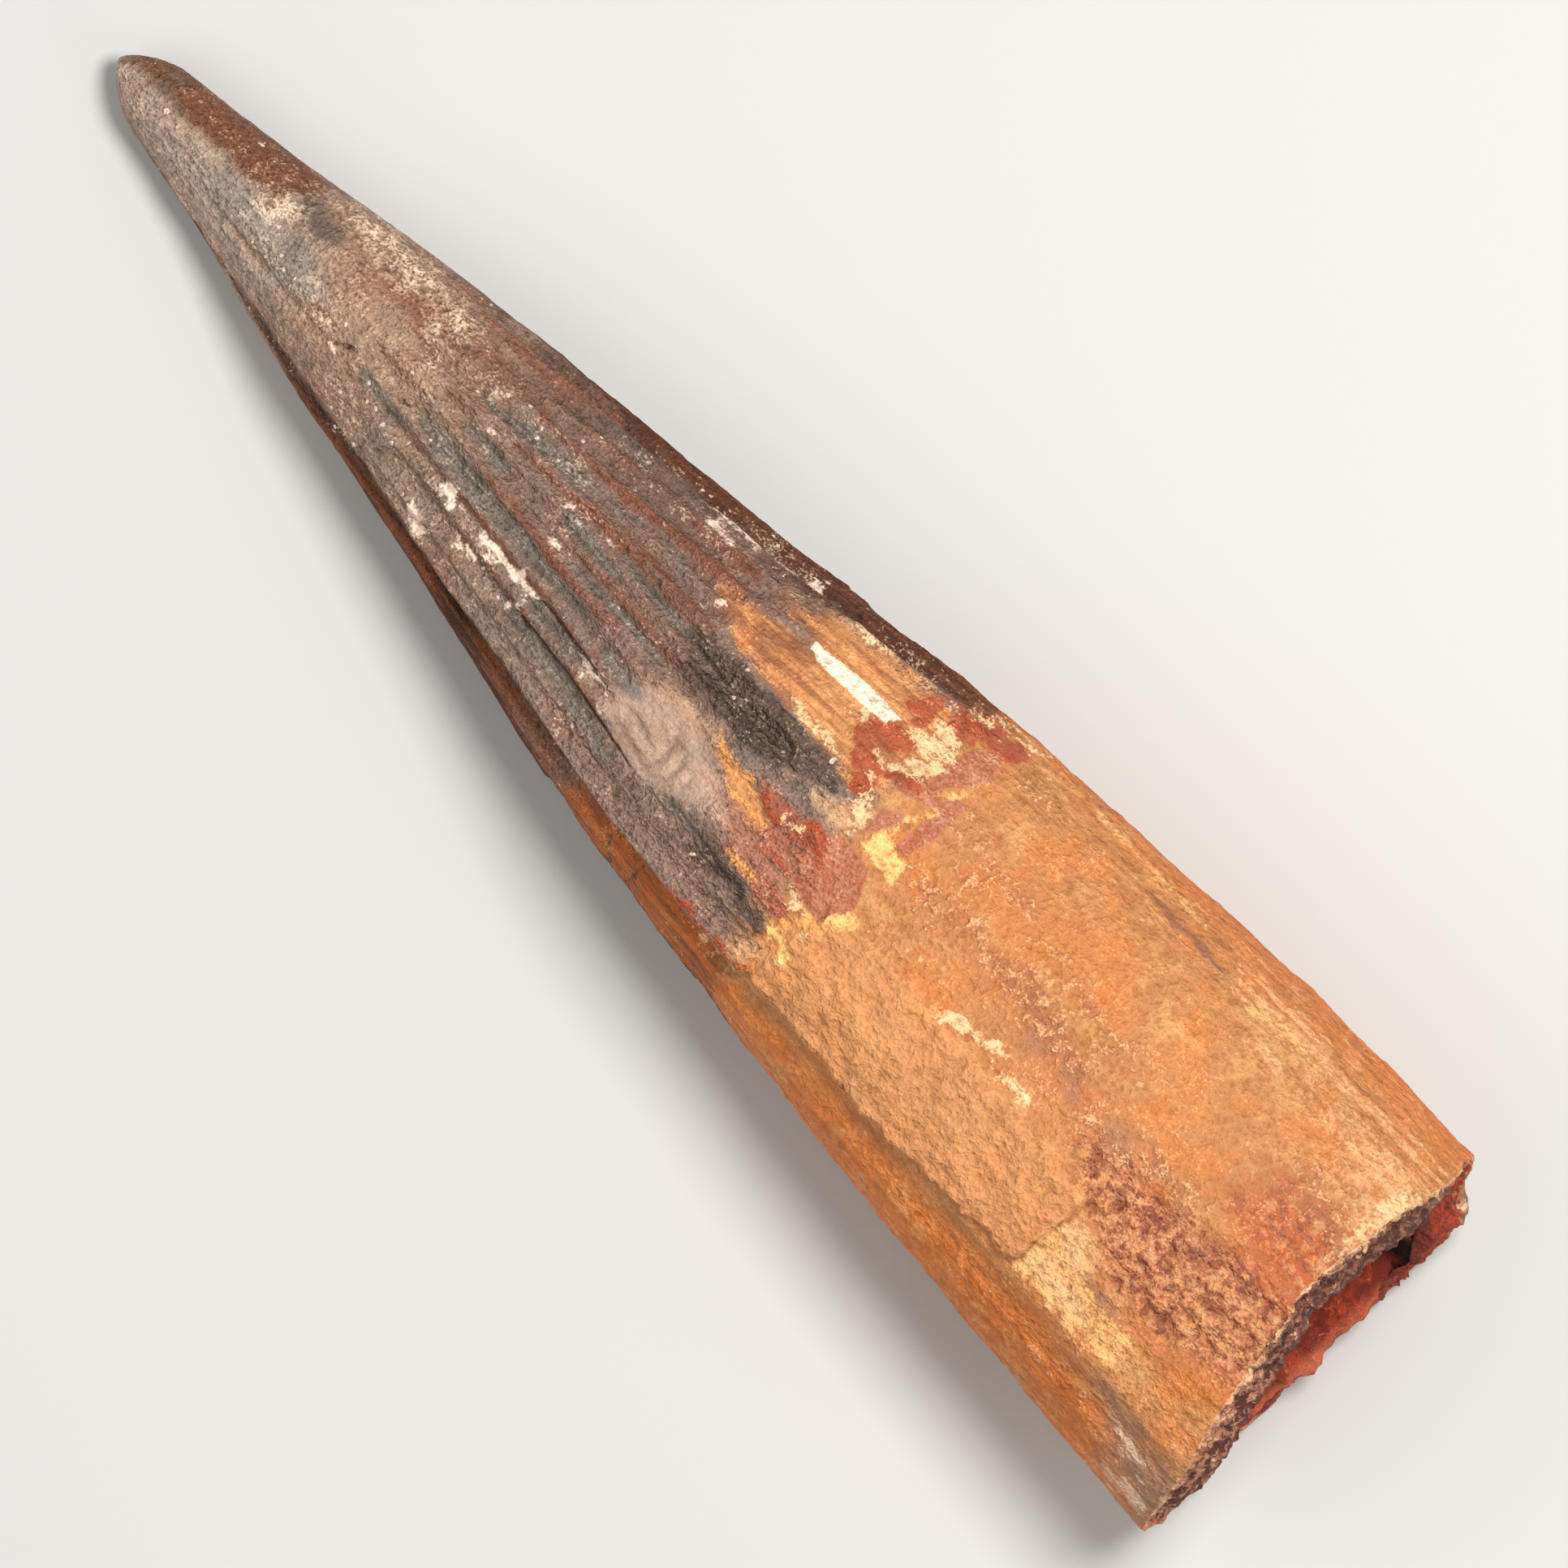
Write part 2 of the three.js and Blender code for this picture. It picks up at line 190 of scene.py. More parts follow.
# Noises that shape the surfaces: size of the lumps, octaves, seed and stretch along the tooth.
SURFACE_NOISES = {
    "wander_x": (1.6, 3, 3.1),
    "wander_y": (1.6, 3, 11.7),
    "fine": (0.7, 3, 5.3),
    "streaks": (0.6, 3, 8.2, 9.0),
    "lumps": (1.7, 4, 1.9),
    "hollows": (0.75, 3, 6.6, 1.8),
}
WALL_CRUMBS = (0.9, 4, 2.2)
FILL_LUMPS = (2.0, 4, 4.4)
FILL_GRAINS = (0.6, 3, 9.1)

# Noises of the tooth's finish: size of the lumps, detail, roughness, and for those that follow
# the tooth's grain how much of its length counts.
FINISH_NOISES = {
    "patches": (4.5, 3.0, 0.6, None),
    "mottle": (1.4, 4.0, 0.7, None),
    "dust": (0.36, 2.0, 0.65, None),
    "crumbs": (0.2, 1.0, 0.5, None),
    "pebbles": (0.7, 2.0, 0.6, None),
    "lines": (0.7, 3.0, 0.6, 0.12),
    "fibres": (0.35, 2.0, 0.5, 0.06),
    "holes": (0.55, 3.0, 0.6, 0.65),
}

# The grain runs along a tube of this radius round the tooth's axis.
GRAIN_RADIUS = 12

# Roughness, and depths of the finest relief in millimetres.
ROOT_ROUGHNESS = 0.62
ENAMEL_SHEEN = 0.16
TOOTH_BUMP = 0.35
STONE_BUMP = 0.4

# The camera looks straight down on the tooth. Millimetres, except the turn and the lens.
VIEW_WIDTH = 107.33
VIEW_CENTRE = (67.59, -0.46)
VIEW_TURN = 47.18
VIEW_LENS = 1200.0
SENSOR_WIDTH = 36.0
MID_HEIGHT = 13.0

# Soft lights: place from the middle of the tooth and width, in metres, and power in watts.
LIGHTS = {
    "key_light": ((0.05, 0.17, 0.46), 0.2, 2.5),
    "fill_light": ((-0.2, -0.3, 0.4), 0.5, 0.8),
    "end_light": ((0.45, 0.05, 0.15), 0.3, 0.5),
}
SKY_STRENGTH = 0.3
FLOOR_REACH = 1.5


def smoothstep(value, low, high):
    share = np.clip((value - low) / (high - low), 0.0, 1.0)
    return share * share * (3.0 - 2.0 * share)


def blend(share, low, high):
    return low + share * (high - low)


def hump(distance, width):
    return np.exp(-((distance / width) ** 2))


def turn_between(start, end):
    """Smallest signed turn from one angle to another, in degrees."""
    return (end - start + 180.0) % 360.0 - 180.0


def curve_through(places, values, at):
    """A smooth curve through the values. Its slope at each is the mean of those beside it."""
    places = np.array(places, float)
    values = np.array(values, float)
    steps = np.diff(places)
    secants = np.diff(values) / steps
    slopes = np.concatenate([secants[:1], 0.5 * (secants[:-1] + secants[1:]), secants[-1:]])
    span = np.clip(np.searchsorted(places, at, side="right") - 1, 0, len(steps) - 1)
    p = (at - places[span]) / steps[span]
    rise = values[span] * (1 + 2 * p) * (1 - p) ** 2 + values[span + 1] * p * p * (3 - 2 * p)
    lean = slopes[span] * p * (1 - p) ** 2 + slopes[span + 1] * p * p * (p - 1)
    return rise + steps[span] * lean


def unevenness(x, angle):
    """Gentle unevenness between -1 and 1."""
    a = np.radians(angle)
    long = np.sin(0.11 * x + 3 * a) * np.cos(0.07 * x - 2 * a + 1.3)
    short = np.sin(0.43 * x - 7 * a + 0.6) * np.cos(0.31 * x + 5 * a)
    return 0.6 * long + 0.4 * short


def rough_noise(points, size, octaves, seed, stretch=1.0):
    """Noise from about -1 to 1 with lumps of about `size`, drawn out along x by `stretch`."""
    scaled = points / np.array([size * stretch, size, size]) + seed
    return np.array([noise.fractal(p, 0.9, 2.0, octaves) for p in scaled.tolist()])


def cell_noise(points, size):
    """Distance from the middle of the nearest cell, as a share of the cells' size."""
    return np.array([noise.voronoi(p)[0][0] for p in (points / size).tolist()])


Section = namedtuple("Section", "dome across above below centre_y centre_z")


def section_at(x):
    """Half widths and centre of the oval section at x."""
    station = np.clip(x / LENGTH, 0, 1)
    dome = (1 - np.clip(1 - x / TIP_DOME, 0, 1) ** 2) ** TIP_POINT
    taper = curve_through(STATIONS, HALF_WIDTHS, station)
    lift = TIP_LIFT * np.maximum(0, 1 - station / TIP_LIFT_END) ** 2
    wear = blend(smoothstep(station, *ROOT_WEAR_STATIONS), CROWN_WEAR, ROOT_WEAR)
    return Section(
        dome,
        taper * dome,
        DEPTH_ABOVE * taper * dome,
        DEPTH_BELOW * taper * dome,
        -SIDE_BULGE * hump(station - BULGE_STATION, BULGE_SPREAD),
        DEPTH_BELOW * taper - wear + lift,
    )


def section_point(x, angle, relief):
    """Points of the oval sections at x, moved out by the relief, which ends at the tip."""
    section = section_at(x)
    a = np.radians(angle)
    depth = np.where(np.sin(a) > 0, section.above, section.below)
    outward = relief * section.dome
    y = section.centre_y + (section.across + outward) * np.cos(a)
    z = section.centre_z + (depth + outward) * np.sin(a)
    return np.column_stack([x, y, z])


def turned_angle(x, column):
    """Columns near the front carina turn with it, so that the flutes run along it."""
    distance = np.abs(turn_between(FRONT_CARINA, column))
    turn = curve_through(CARINA_STATIONS, CARINA_ANGLES, np.clip(x / LENGTH, 0, 1)) - FRONT_CARINA
    return column + turn * (0.5 + 0.5 * np.cos(np.pi * np.minimum(1, distance / CARINA_REACH)))


def rim_at(column):
    """x of the broken base's outer edge."""
    angle = turned_angle(np.full_like(column, LENGTH), column) % 360
    return LENGTH + np.interp(angle, *zip(*RIM_EDGE))


def broken_face_point(column, share):
    """A point of the broken wall, from its outer edge at share 0 to its inner edge at 1."""
    rim = rim_at(column)
    angle = turned_angle(rim, column)
    thickness = ENAMEL_THICKNESS + share * RIM_WALL
    point = section_point(rim, angle, -thickness)
    upward = np.sin(np.radians(angle))
    slant = np.where(upward > 0, UPPER_SLANT * upward, LOWER_SLANT * -upward)
    point[:, 0] += share * slant + RIM_ROUGHNESS * unevenness(40 * share, 9 * column)
    return point


def cavity_point(column, step, gap):
    """A point of the hollow's wall, from its mouth at step 0 to its end at step 1."""
    mouth = broken_face_point(column, np.ones_like(column))
    base = section_at(np.full_like(column, LENGTH))
    out = mouth[:, 1:] - np.column_stack([base.centre_y, base.centre_z])
    reach = np.linalg.norm(out, axis=1)
    closed = np.maximum(0, reach * np.interp(step, CAVITY_STEPS, CAVITY_SHARES) - gap) / reach
    x = blend(step, mouth[:, 0], LENGTH - CAVITY_DEPTH + gap)
    y = base.centre_y + out[:, 0] * closed
    z = base.centre_z + out[:, 1] * closed
    return np.column_stack([x, y, z])


# A mark is a sharp-edged field of two colours woven together, and a stain is a soft one of one
# colour. Points (x, y, half width) make a stroke, and points (x, y) a convex polygon.
# A mark's edge strays by `wander` and is `edge` wide on each side. It is raised or sunk by `rise`
# over a `slope`, has a roughness `rough`, runs along the tooth where it is `streaky`, and hides
# what is below it by `cover`.
MARK_FIELDS = "colour other wander edge shapes rise slope rough streaky cover"
Mark = namedtuple("Mark", MARK_FIELDS, defaults=(0, 0.3, 0.5, False, 1))
Stain = namedtuple("Stain", "colour soft strength shapes")

# Where every vertex lies before it is worn: along, across, above the axis and round it.
Place = namedtuple("Place", "x y height column station")


def inside_stroke(x, y, stroke):
    """How far inside a stroke each place is, negative outside it."""
    best = np.full(len(x), -1e3)
    chain = stroke if len(stroke) > 1 else stroke * 2
    for (ax, ay, ar), (bx, by, br) in zip(chain, chain[1:]):
        run = max((bx - ax) ** 2 + (by - ay) ** 2, 1e-9)
        share = np.clip(((x - ax) * (bx - ax) + (y - ay) * (by - ay)) / run, 0, 1)
        distance = np.hypot(x - blend(share, ax, bx), y - blend(share, ay, by))
        best = np.maximum(best, blend(share, ar, br) - distance)
    return best


def inside_polygon(x, y, corners):
    """How far inside a convex polygon each place is, negative outside it."""
    middle = np.mean(corners, axis=0)
    best = np.full(len(x), 1e3)
    for (ax, ay), (bx, by) in zip(corners, corners[1:] + corners[:1]):
        length = math.hypot(bx - ax, by - ay)
        side = ((bx - ax) * (middle[1] - ay) - (by - ay) * (middle[0] - ax)) > 0
        inward = ((bx - ax) * (y - ay) - (by - ay) * (x - ax)) / length
        best = np.minimum(best, inward if side else -inward)
    return best


def inside_shapes(x, y, shapes):
    kinds = [inside_stroke if len(shape[0]) == 3 else inside_polygon for shape in shapes]
    return np.max([kind(x, y, shape) for kind, shape in zip(kinds, shapes)], axis=0)


# Lines of the placed flutes' valleys.
FLUTE_LINES = [
    [(33, 5.4, 0.1), (41, 7.3, 0.2), (47, 8.1, 0.2), (57, 9.6, 0.1)],
    [(35, 5, 0.1), (44.5, 6.1, 0.25), (52, 7.1, 0.25), (57, 7.6, 0.1)],
    [(38, 4.1, 0.1), (46, 4.7, 0.2), (51, 5.3, 0.2), (56, 5.8, 0.1)],
    [(29, 1.9, 0.1), (36, 2.9, 0.25), (43, 3.7, 0.25), (56, 4.1, 0.1)],
    [(36, 1.6, 0.1), (49, 2.3, 0.2), (55, 1.75, 0.3), (66, 1.2, 0.1)],
    [(32, 0.7, 0.1), (38, 0.1, 0.25), (47, 0.9, 0.2), (55, 0.2, 0.1)],
    [(41, -0.8, 0.1), (49, -0.4, 0.2), (56, -0.95, 0.25), (60, -1.2, 0.1)],
    [(27, -0.9, 0.1), (36, -1.9, 0.3), (45, -2.6, 0.3), (52, -3.2, 0.25), (57, -4, 0.1)],
    [(30, -3.3, 0.1), (42, -4.2, 0.15), (49, -4.8, 0.3), (56, -5.7, 0.1)],
    [(33, -5, 0.1), (45, -6.3, 0.2), (52, -7.05, 0.3), (60, -8.3, 0.2), (68, -9.5, 0.1)],
]
TIP_GROOVE = [(11, -2.2, -0.6), (17, -2.6, -0.3), (23.5, -2.9, -0.5)]

# Deep pits of the porous bone: x, y and width.
DEEP_PITS = [
    (104.1, -3.6, 0.55), (103.1, -5, 0.5), (105.8, -1.3, 0.4), (113.2, -3.7, 0.5), (112, -6.5, 0.4),
    (108, -7.2, 0.4), (113.1, -5.2, 0.35), (117.2, -3, 0.4), (118.4, -1.1, 0.5), (118.6, -2.9, 0.5),
    (118.9, -4.3, 0.45), (101.3, -3.1, 0.35), (109.6, -6.2, 0.3), (115.6, -3.3, 0.35), (106.6, -3.1, 0.3),
]

# Bands of mauve granules along the root.
GRANULE_BANDS = [
    [(77.6, 1.9, 0.4), (81, 1.6, 0.7), (84, 2.4, 0.6)],
    [(77.6, 7.4, 0.5), (79.5, 6.6, 0.3)],
    [(80.5, 4.6, 0.8), (83.4, 6.4, 0.8), (85.5, 6.6, 0.3)],
    [(85.5, 1.6, 0.6), (89, 2.2, 1.4), (93, 1.4, 1.3), (96, 0.4, 0.8)],
    [(87.5, 5.2, 0.4), (93.5, 4.4, 0.6), (97, 3.8, 0.4)],
    [(103.5, 0.6, 0.7), (108, 0.8, 0.6)],
    [(98, -1, 0.5), (103, -1.2, 0.5)],
    [(79, 12.2, 0.3), (81, 11.6, 0.3)],
    [(111, 7.6, 0.3), (115, 6.6, 0.5)],
]

# Where small pale specks are thickest on the crown.
SPECKED = [
    [(14, -0.5, 0.8), (20, -2.4, 0.6)],
    [(24, -1.8, 0.8), (33, -2, 1)],
    [(27, -4.6, 0.8), (36, -5, 1), (46, -6.8, 0.8)],
    [(34, 3.8, 0.6), (42, 4.2, 0.8)],
    [(50, 8.9, 0.6), (60, 11, 0.6)],
    [(60, 1, 0.2), (67, 0.6, 0.4)],
]

# Where the enamel is pebbled like leather.
LEATHERY = [[(55, -8.0, 0.8), (62, -8.9, 1.2), (73, -8.8, 1.0)], [(57, 1.0, 1.6), (69, 1.0, 1.4)]]

# Marks in the order in which they are laid down, each over those before it.
MARKS = {
    "lost_enamel": Mark("tan_dentine", "warm_dentine", 0.5, 0.3, streaky=True, cover=0.6, shapes=[
        [(57.5, 4.3, 0.3), (61.5, 4.7, 1.2), (71, 4.9, 1.7)],
        [(54.5, 5.6, 0.1), (58, 6, 0.6), (63, 6.8, 1.3), (72, 7.3, 1.8)],
        [(59.5, 8.2, 0.1), (62, 8.7, 0.7), (66, 9.4, 1.5), (72, 9.6, 1.7)],
        [(63, -2.2, 0.4), (66.5, -2.9, 0.9), (68.3, -3.2, 0.6)],
    ]),
    "bare_side": Mark("amber", "red_umber", 0.3, 0.25, rough=0.7, streaky=True, shapes=[
        [(55.5, -13.2, 0.9), (62, -13.4, 1.9), (68, -14.6, 2.9), (71.5, -15.3, 3.4)],
    ]),
    "side_strip": Mark("red_umber", "deep_brown", 0.25, 0.15, streaky=True, cover=0.85, shapes=[
        [(24, -6.5, 0.2), (32, -7.7, 0.5), (40, -9, 0.85), (46, -10.1, 1.1), (50, -10.7, 0.9)],
    ]),
    "dark_edge": Mark("rim_brown", "rust_brown", 0.25, 0.35, rough=0.75, streaky=True, cover=0.95, shapes=[
        [(36, 9.2, 0.5), (45, 10.3, 1.3), (56, 11.7, 1.4), (62, 12.4, 1.4), (67, 13, 1.2), (73, 14, 1)],
        [(55, 9.1, 0.1), (60, 10.2, 0.25), (66, 11.7, 0.35), (72, 12.9, 0.2)],
    ]),
    "spall": Mark(
        "spall_pink", "spall_shade", 0.1, 1.1, rise=-0.42, slope=0.5, rough=0.45, streaky=True, cover=0.55,
        shapes=[
            [(55.6, -4.1, 1), (58, -4.7, 2.7), (60.3, -4.7, 3), (63.3, -4.8, 1.8)],
        ],
    ),
    "crust": Mark(
        "crust_ochre", "crust_ochre", 0.3, 0.3, rise=0.7, slope=0.15, rough=0.85, cover=0.6,
        shapes=[
            [(76, -3.6), (86, -3.4), (102.4, -4.4), (102.2, -11), (88, -11.4), (75.5, -11)],
        ],
    ),
    "bright_strip": Mark("straw", "crust_ochre", 0.35, 0.3, rise=-0.05, slope=0.4, rough=0.6, shapes=[
        [(84.2, 14.3, 0.2), (86.4, 14.5, 0.25)],
        [(89.6, 14.4, 0.15), (94.4, 14.6, 0.3)],
        [(99, 12.8, 0.1), (103, 13.2, 0.25), (106.5, 13.3, 0.15)],
        [(102.4, -6.2), (105.2, -7.4), (106.6, -9.2), (107, -11.5), (101.9, -11.3)],
        [(104, -8.9), (112, -9.3), (112.4, -11.5), (104, -11.4)],
    ]),
    "strip_pale": Mark("pink_cream", "cream", 0.5, 0.9, rough=0.6, cover=0.6, shapes=[
        [(103, -7, 0.5), (105, -8.2, 0.5)],
        [(103.2, -10.2, 0.5), (108, -10.6, 0.4)],
    ]),
    "slit": Mark(
        "slit_brown", "bone_mauve", 0.35, 0.25, rise=-0.12, slope=0.2, rough=0.6, streaky=True,
        shapes=[
            [(89.3, 13.6, 0.05), (92, 13.35, 0.32), (95, 13.3, 0.28), (98.4, 13, 0.05)],
        ],
    ),
    # Painted shadow along the step at the crust's end.
    "crust_step_shadow": Mark(
        "rust_brown", "burnt_orange", 0.25, 0.16, rise=-0.12, slope=0.25, rough=0.6, cover=0.8,
        shapes=[
            [(102.5, -4.6, 0), (102.6, -6.5, 0.2), (102.2, -8.5, 0.05), (102.1, -11, 0.2)],
        ],
    ),
    "porous": Mark("bone_pink", "bone_mauve", 0.5, 1.3, rise=-0.3, slope=1.2, cover=0.7, shapes=[
        [(99.2, -2.4, 0.8), (103, -3, 1.9), (107, -3.8, 3.2), (112, -3.8, 4), (118.5, -2.6, 3.2)],
    ]),
    "mottled": Mark("cream_bone", "crust_ochre", 1.2, 0.9, rough=0.45, cover=0.5, shapes=[
        [(107, 12.4, 0.3), (112, 11.5, 1.2), (118, 9.8, 2.6)],
    ]),
    "striped": Mark("cream_bone", "deep_orange", 1.6, 0.8, rough=0.45, streaky=True, cover=0.6, shapes=[
        [(112, 11.2, 0.2), (118, 9.8, 1.6)],
        [(98, 14.3, 0.2), (108, 13.9, 0.5), (118, 13.2, 0.6)],
    ]),
    "reddened": Mark("red_orange", "bone_mauve", 0.8, 1.1, streaky=True, cover=0.6, shapes=[
        [(109.5, 2.8, 0.6), (112.5, 4.2, 2.6), (116.4, 4, 3)],
        [(110, 0.2, 0.3), (116.5, 0.2, 1.1)],
    ]),
    "scratches": Mark("sand", "scuff_grey", 0.6, 0.3, rough=0.6, streaky=True, cover=0.6, shapes=[
        [(115.5, -14.3, 0.05), (118, -14.8, 0.3), (119.5, -15.6, 0.1)],
        [(115, -16.4, 0.05), (118, -16.5, 0.2), (120.5, -16.2, 0.1)],
    ]),
    # Pale crust along the rim's outer edge, with a painted highlight on it.
    "rim_crust_and_highlight": Mark("cream", "cream_bone", 0.5, 0.4, rise=0.05, rough=0.45, cover=0.65, shapes=[
        [(116.4, 3.6, 0.1), (116.8, 6.4, 0.3), (117, 8.6, 0.6), (117.2, 10.8, 0.7), (117.8, 12.6, 0.4)],
    ]),
    # Painted shade in the creases of the flutes.
    "crease_shade": Mark("deep_brown", "soot", 0.2, 0.2, streaky=True, cover=0.2, shapes=FLUTE_LINES),
    "valley": Mark("valley_grey", "valley_dark", 0.25, 0.3, rough=0.4, streaky=True, cover=0.85, shapes=[
        [(45.4, 4.5, 0.2), (47.5, 4.7, 0.3)],
        [(49.6, 5.3, 0.2), (51.8, 5.3, 0.3), (52.4, 4.1, 0.2)],
        [(34.8, 2.6, 0.3), (38.5, 3.4, 0.55), (41.5, 3.5, 0.4), (43.5, 3.7, 0.2)],
        [(48.5, 2.2, 0.15), (51, 1.95, 0.5), (56, 1.8, 0.4), (60, 1.4, 0.3)],
        [(44.3, 1.2, 0.6), (46.4, 0.9, 0.6), (49.5, 1, 0.35)],
        [(35, 0.5, 0.4), (38.8, 0.3, 0.5)],
        [(46.5, -0.8, 0.2), (51, -0.8, 0.45), (55.5, -1, 0.35)],
        [(32.6, -1.7, 0.5), (36, -2, 0.85), (39.5, -2.3, 0.6), (45, -2.6, 0.6), (50, -2.9, 0.3)],
        [(52.5, -3.4, 0.3), (54.5, -3.7, 0.8), (56.3, -3.9, 0.4)],
        [(46.7, -4.75, 0.4), (49.5, -4.95, 0.55), (52, -5.2, 0.4)],
        [(45.3, -6.5, 0.2), (48.5, -6.8, 0.5), (53, -7.3, 0.5), (58, -8.3, 0.3)],
        [(27.5, -2.6, 0.5), (32, -2.9, 0.4)],
        [(63.5, -7.1, 0.5), (66, -7, 0.4)],
    ]),
    "red_lines": Mark(
        "red_ridge", "red_umber", 0.25, 0.25, rise=0.06, rough=0.45, streaky=True, cover=0.7,
        shapes=[
            [(37, -0.9, 0.1), (44, -1.5, 0.3), (51, -2.1, 0.2)],
            [(38, -3.5, 0.1), (44, -3.7, 0.25), (47.5, -3.8, 0.15)],
            [(40, 2.2, 0.1), (48, 2.7, 0.25), (56.5, 2.5, 0.15)],
            [(46, 5.4, 0.1), (50, 6.1, 0.5), (55.5, 6.4, 0.4)],
            [(40.5, 6.5, 0.1), (45, 7.3, 0.3), (50, 7.9, 0.35), (56, 8.2, 0.3)],
            [(47, 3.7, 0.1), (52, 3.3, 0.4), (56.5, 3.2, 0.25)],
            [(36, 4.7, 0.1), (42, 5, 0.3), (46, 5.3, 0.15)],
            [(49, 0.2, 0.1), (53, 0.1, 0.25), (58, -0.2, 0.15)],
            [(30, 6.2, 0.2), (36, 7, 0.4), (42, 8.5, 0.3)],
            [(41, -5.6, 0.05), (47, -5.7, 0.15)],
        ],
    ),
    # Painted shade along the spall's wrinkles, which are also sunk.
    "spall_crease_shade": Mark("grey_mauve", "umber", 0.08, 0.2, rise=-0.4, streaky=True, shapes=[
        [(59.8, -2.8, 0), (60.6, -4.2, 0.2), (60.8, -5.7, 0.22), (60.2, -7.2, 0.05)],
        [(61.4, -3.8, 0), (62, -5, 0.2), (62, -6.2, 0.18), (61.4, -7.1, 0)],
        [(62.9, -4.6, 0), (63.3, -5.6, 0.14), (62.9, -6.6, 0)],
        [(56.3, -4.9, 0.05), (58, -5.1, 0.14), (59.6, -5.6, 0.05)],
        [(57.2, -6.4, 0.05), (59.4, -6.6, 0.12)],
    ]),
    "charcoal": Mark("charcoal", "soot", 0.45, 0.2, rise=0.12, rough=0.35, streaky=True, cover=0.9, shapes=[
        [(55.5, 2.2, 0.4), (60, 2, 1.1), (66, 2, 1.2), (69.7, 1.9, 0.8)],
        [(57, 0.1, 0.4), (62, 0.2, 0.9), (66, 0.4, 0.6)],
        [(66.5, -8, 0.4), (70.5, -7.7, 0.6), (73.6, -8.4, 0.5)],
        [(66.5, -6.8, 0.6), (69.5, -7.4, 0.5)],
    ]),
    "brown_flakes": Mark("flake_brown", "flake_red", 0.2, 0.1, rise=0.12, slope=0.2, shapes=[
        [(73, 0), (76, -0.3), (77.2, -2.9), (76.3, -5.2), (73.5, -5.2), (71.6, -3)],
        [(70.8, -5.6), (74.4, -5.9), (74.1, -7.4), (71, -6.7)],
        [(74, 7.5), (74.6, 10.8), (76.4, 12.4), (77, 10), (76, 8.2), (75, 7.4)],
        [(76.2, 7.5), (77.2, 7.8), (77.4, 5), (77, 2.1), (75.8, 2.2), (75.9, 4.6)],
        [(73.7, 1), (73.3, 3.5), (75.2, 4.3), (74.3, 2)],
        [(73, 5.8, 1), (75, 6.6, 0.8)],
    ]),
    "rust_stain": Mark("rust_red", "flake_red", 0.4, 0.12, rise=0.1, slope=0.2, shapes=[
        [(69.3, 9.6, 0.4), (70.6, 10.9, 0.6), (70.6, 9.4, 0.5)],
        [(68.3, 6.7, 0.5), (70.3, 7.2, 1), (71.6, 7.9, 0.4)],
        [(68.6, 5.9, 0.5), (70.3, 4.8, 1), (71.3, 3.4, 0.8)],
        [(71.5, 5.4, 0.5), (73.6, 6, 0.6)],
        [(71.6, 12.1, 0.3), (74, 12.3, 1), (76.8, 12.9, 0.7)],
        [(72.6, 10.9, 0.3), (74.2, 10.8, 0.4)],
        [(73.2, 10.9, 0.5), (73.9, 9.6, 0.2)],
        [(70.8, -1, 0.4), (72, -1.4, 0.7), (73.2, -2.5, 0.3)],
        [(67.4, -2, 0.4), (69.4, -2.5, 0.35)],
        [(69.4, -4.9, 0.15), (71.4, -4.4, 0.25), (73, -4.2, 0.1)],
        [(66, -11, 0.1), (70, -10.9, 0.25), (75, -11.1, 0.15)],
    ]),
    "cream": Mark("cream", "pink_cream", 0.55, 0.2, rise=0.08, slope=0.2, cover=0.9, shapes=[
        [(71.2, 8.6, 0.4), (72.7, 8.9, 0.6), (74.1, 9.2, 0.35)],
        [(73.8, 8.4, 0.4), (73.2, 7.3, 0.7), (72, 6.2, 0.4), (70.3, 5.7, 0.2)],
        [(71.8, 9.9, 0.3), (72.9, 10, 0.4), (74.2, 10.3, 0.2)],
        [(71.8, 11.5, 0.2), (73, 12.7, 0.15), (76, 13.6, 0.12), (79, 14.3, 0.05)],
        [(67, 6.5, 0.15), (68.2, 6.7, 0.25)],
        [(63.4, 3.9, 0.1), (66.5, 3.8, 0.3), (69.2, 3.5, 0.15)],
        [(70.4, 4.4, 0.08), (71.4, 4, 0.15)],
        [(72.3, 2.9, 0.55), (72.6, 1.7, 0.7), (73.3, 0.6, 0.25)],
        [(63.4, 10.8, 0.12), (66, 11, 0.3)],
        [(69.6, -2, 0.25), (70.6, -1.9, 0.35)],
        [(73, -5.2, 0.2), (74.4, -5.8, 0.3), (76.2, -6.4, 0.15)],
        [(70.5, -11.7, 0.1), (74.5, -12.1, 0.2)],
        [(87.1, -3.3, 0.5), (88.5, -2.7, 0.45), (90.7, -2, 0.35)],
        [(91.6, -3.2, 0.1), (93.2, -3, 0.25), (94.4, -3.3, 0.3)],
    ]),
    "yellow": Mark("yellow_ochre", "straw", 0.25, 0.2, rise=0.05, slope=0.2, rough=0.6, shapes=[
        [(74.3, 0.4), (75, 2.3), (77.3, 2), (77.4, 0.4)],
        [(76.6, 8.3, 0.15), (75.3, 6.8, 0.15)],
        [(76, 5.8, 0.25), (75.4, 4.6, 0.15), (74.4, 1, 0.12)],
        [(74.3, -7.9, 0.35), (76.2, -8.4, 0.5)],
        [(76.5, -4.4, 0.4), (77.6, -3.6, 0.3)],
    ]),
    "sand": Mark("sand", "sand_shade", 0.7, 1.1, rise=0.12, slope=0.6, rough=0.9, cover=0.8, shapes=[
        [(17.8, 4.1, 0.1), (20, 4.5, 0.4), (23.5, 4.8, 0.8), (26, 4.8, 0.6)],
        [(26, 4.9, 0.5), (30, 4.9, 0.4)],
        [(14, -0.2, 0.3), (14.9, 1.2, 0.8), (16.4, 1.6, 0.4)],
        [(28.4, 3.5, 0.2), (29.6, 3.3, 0.25)],
        [(20.6, -1.4, 0.15), (22.4, -1.8, 0.3)],
    ]),
    "dark_spots": Mark("valley_dark", "umber", 0.4, 0.5, cover=0.7, shapes=[
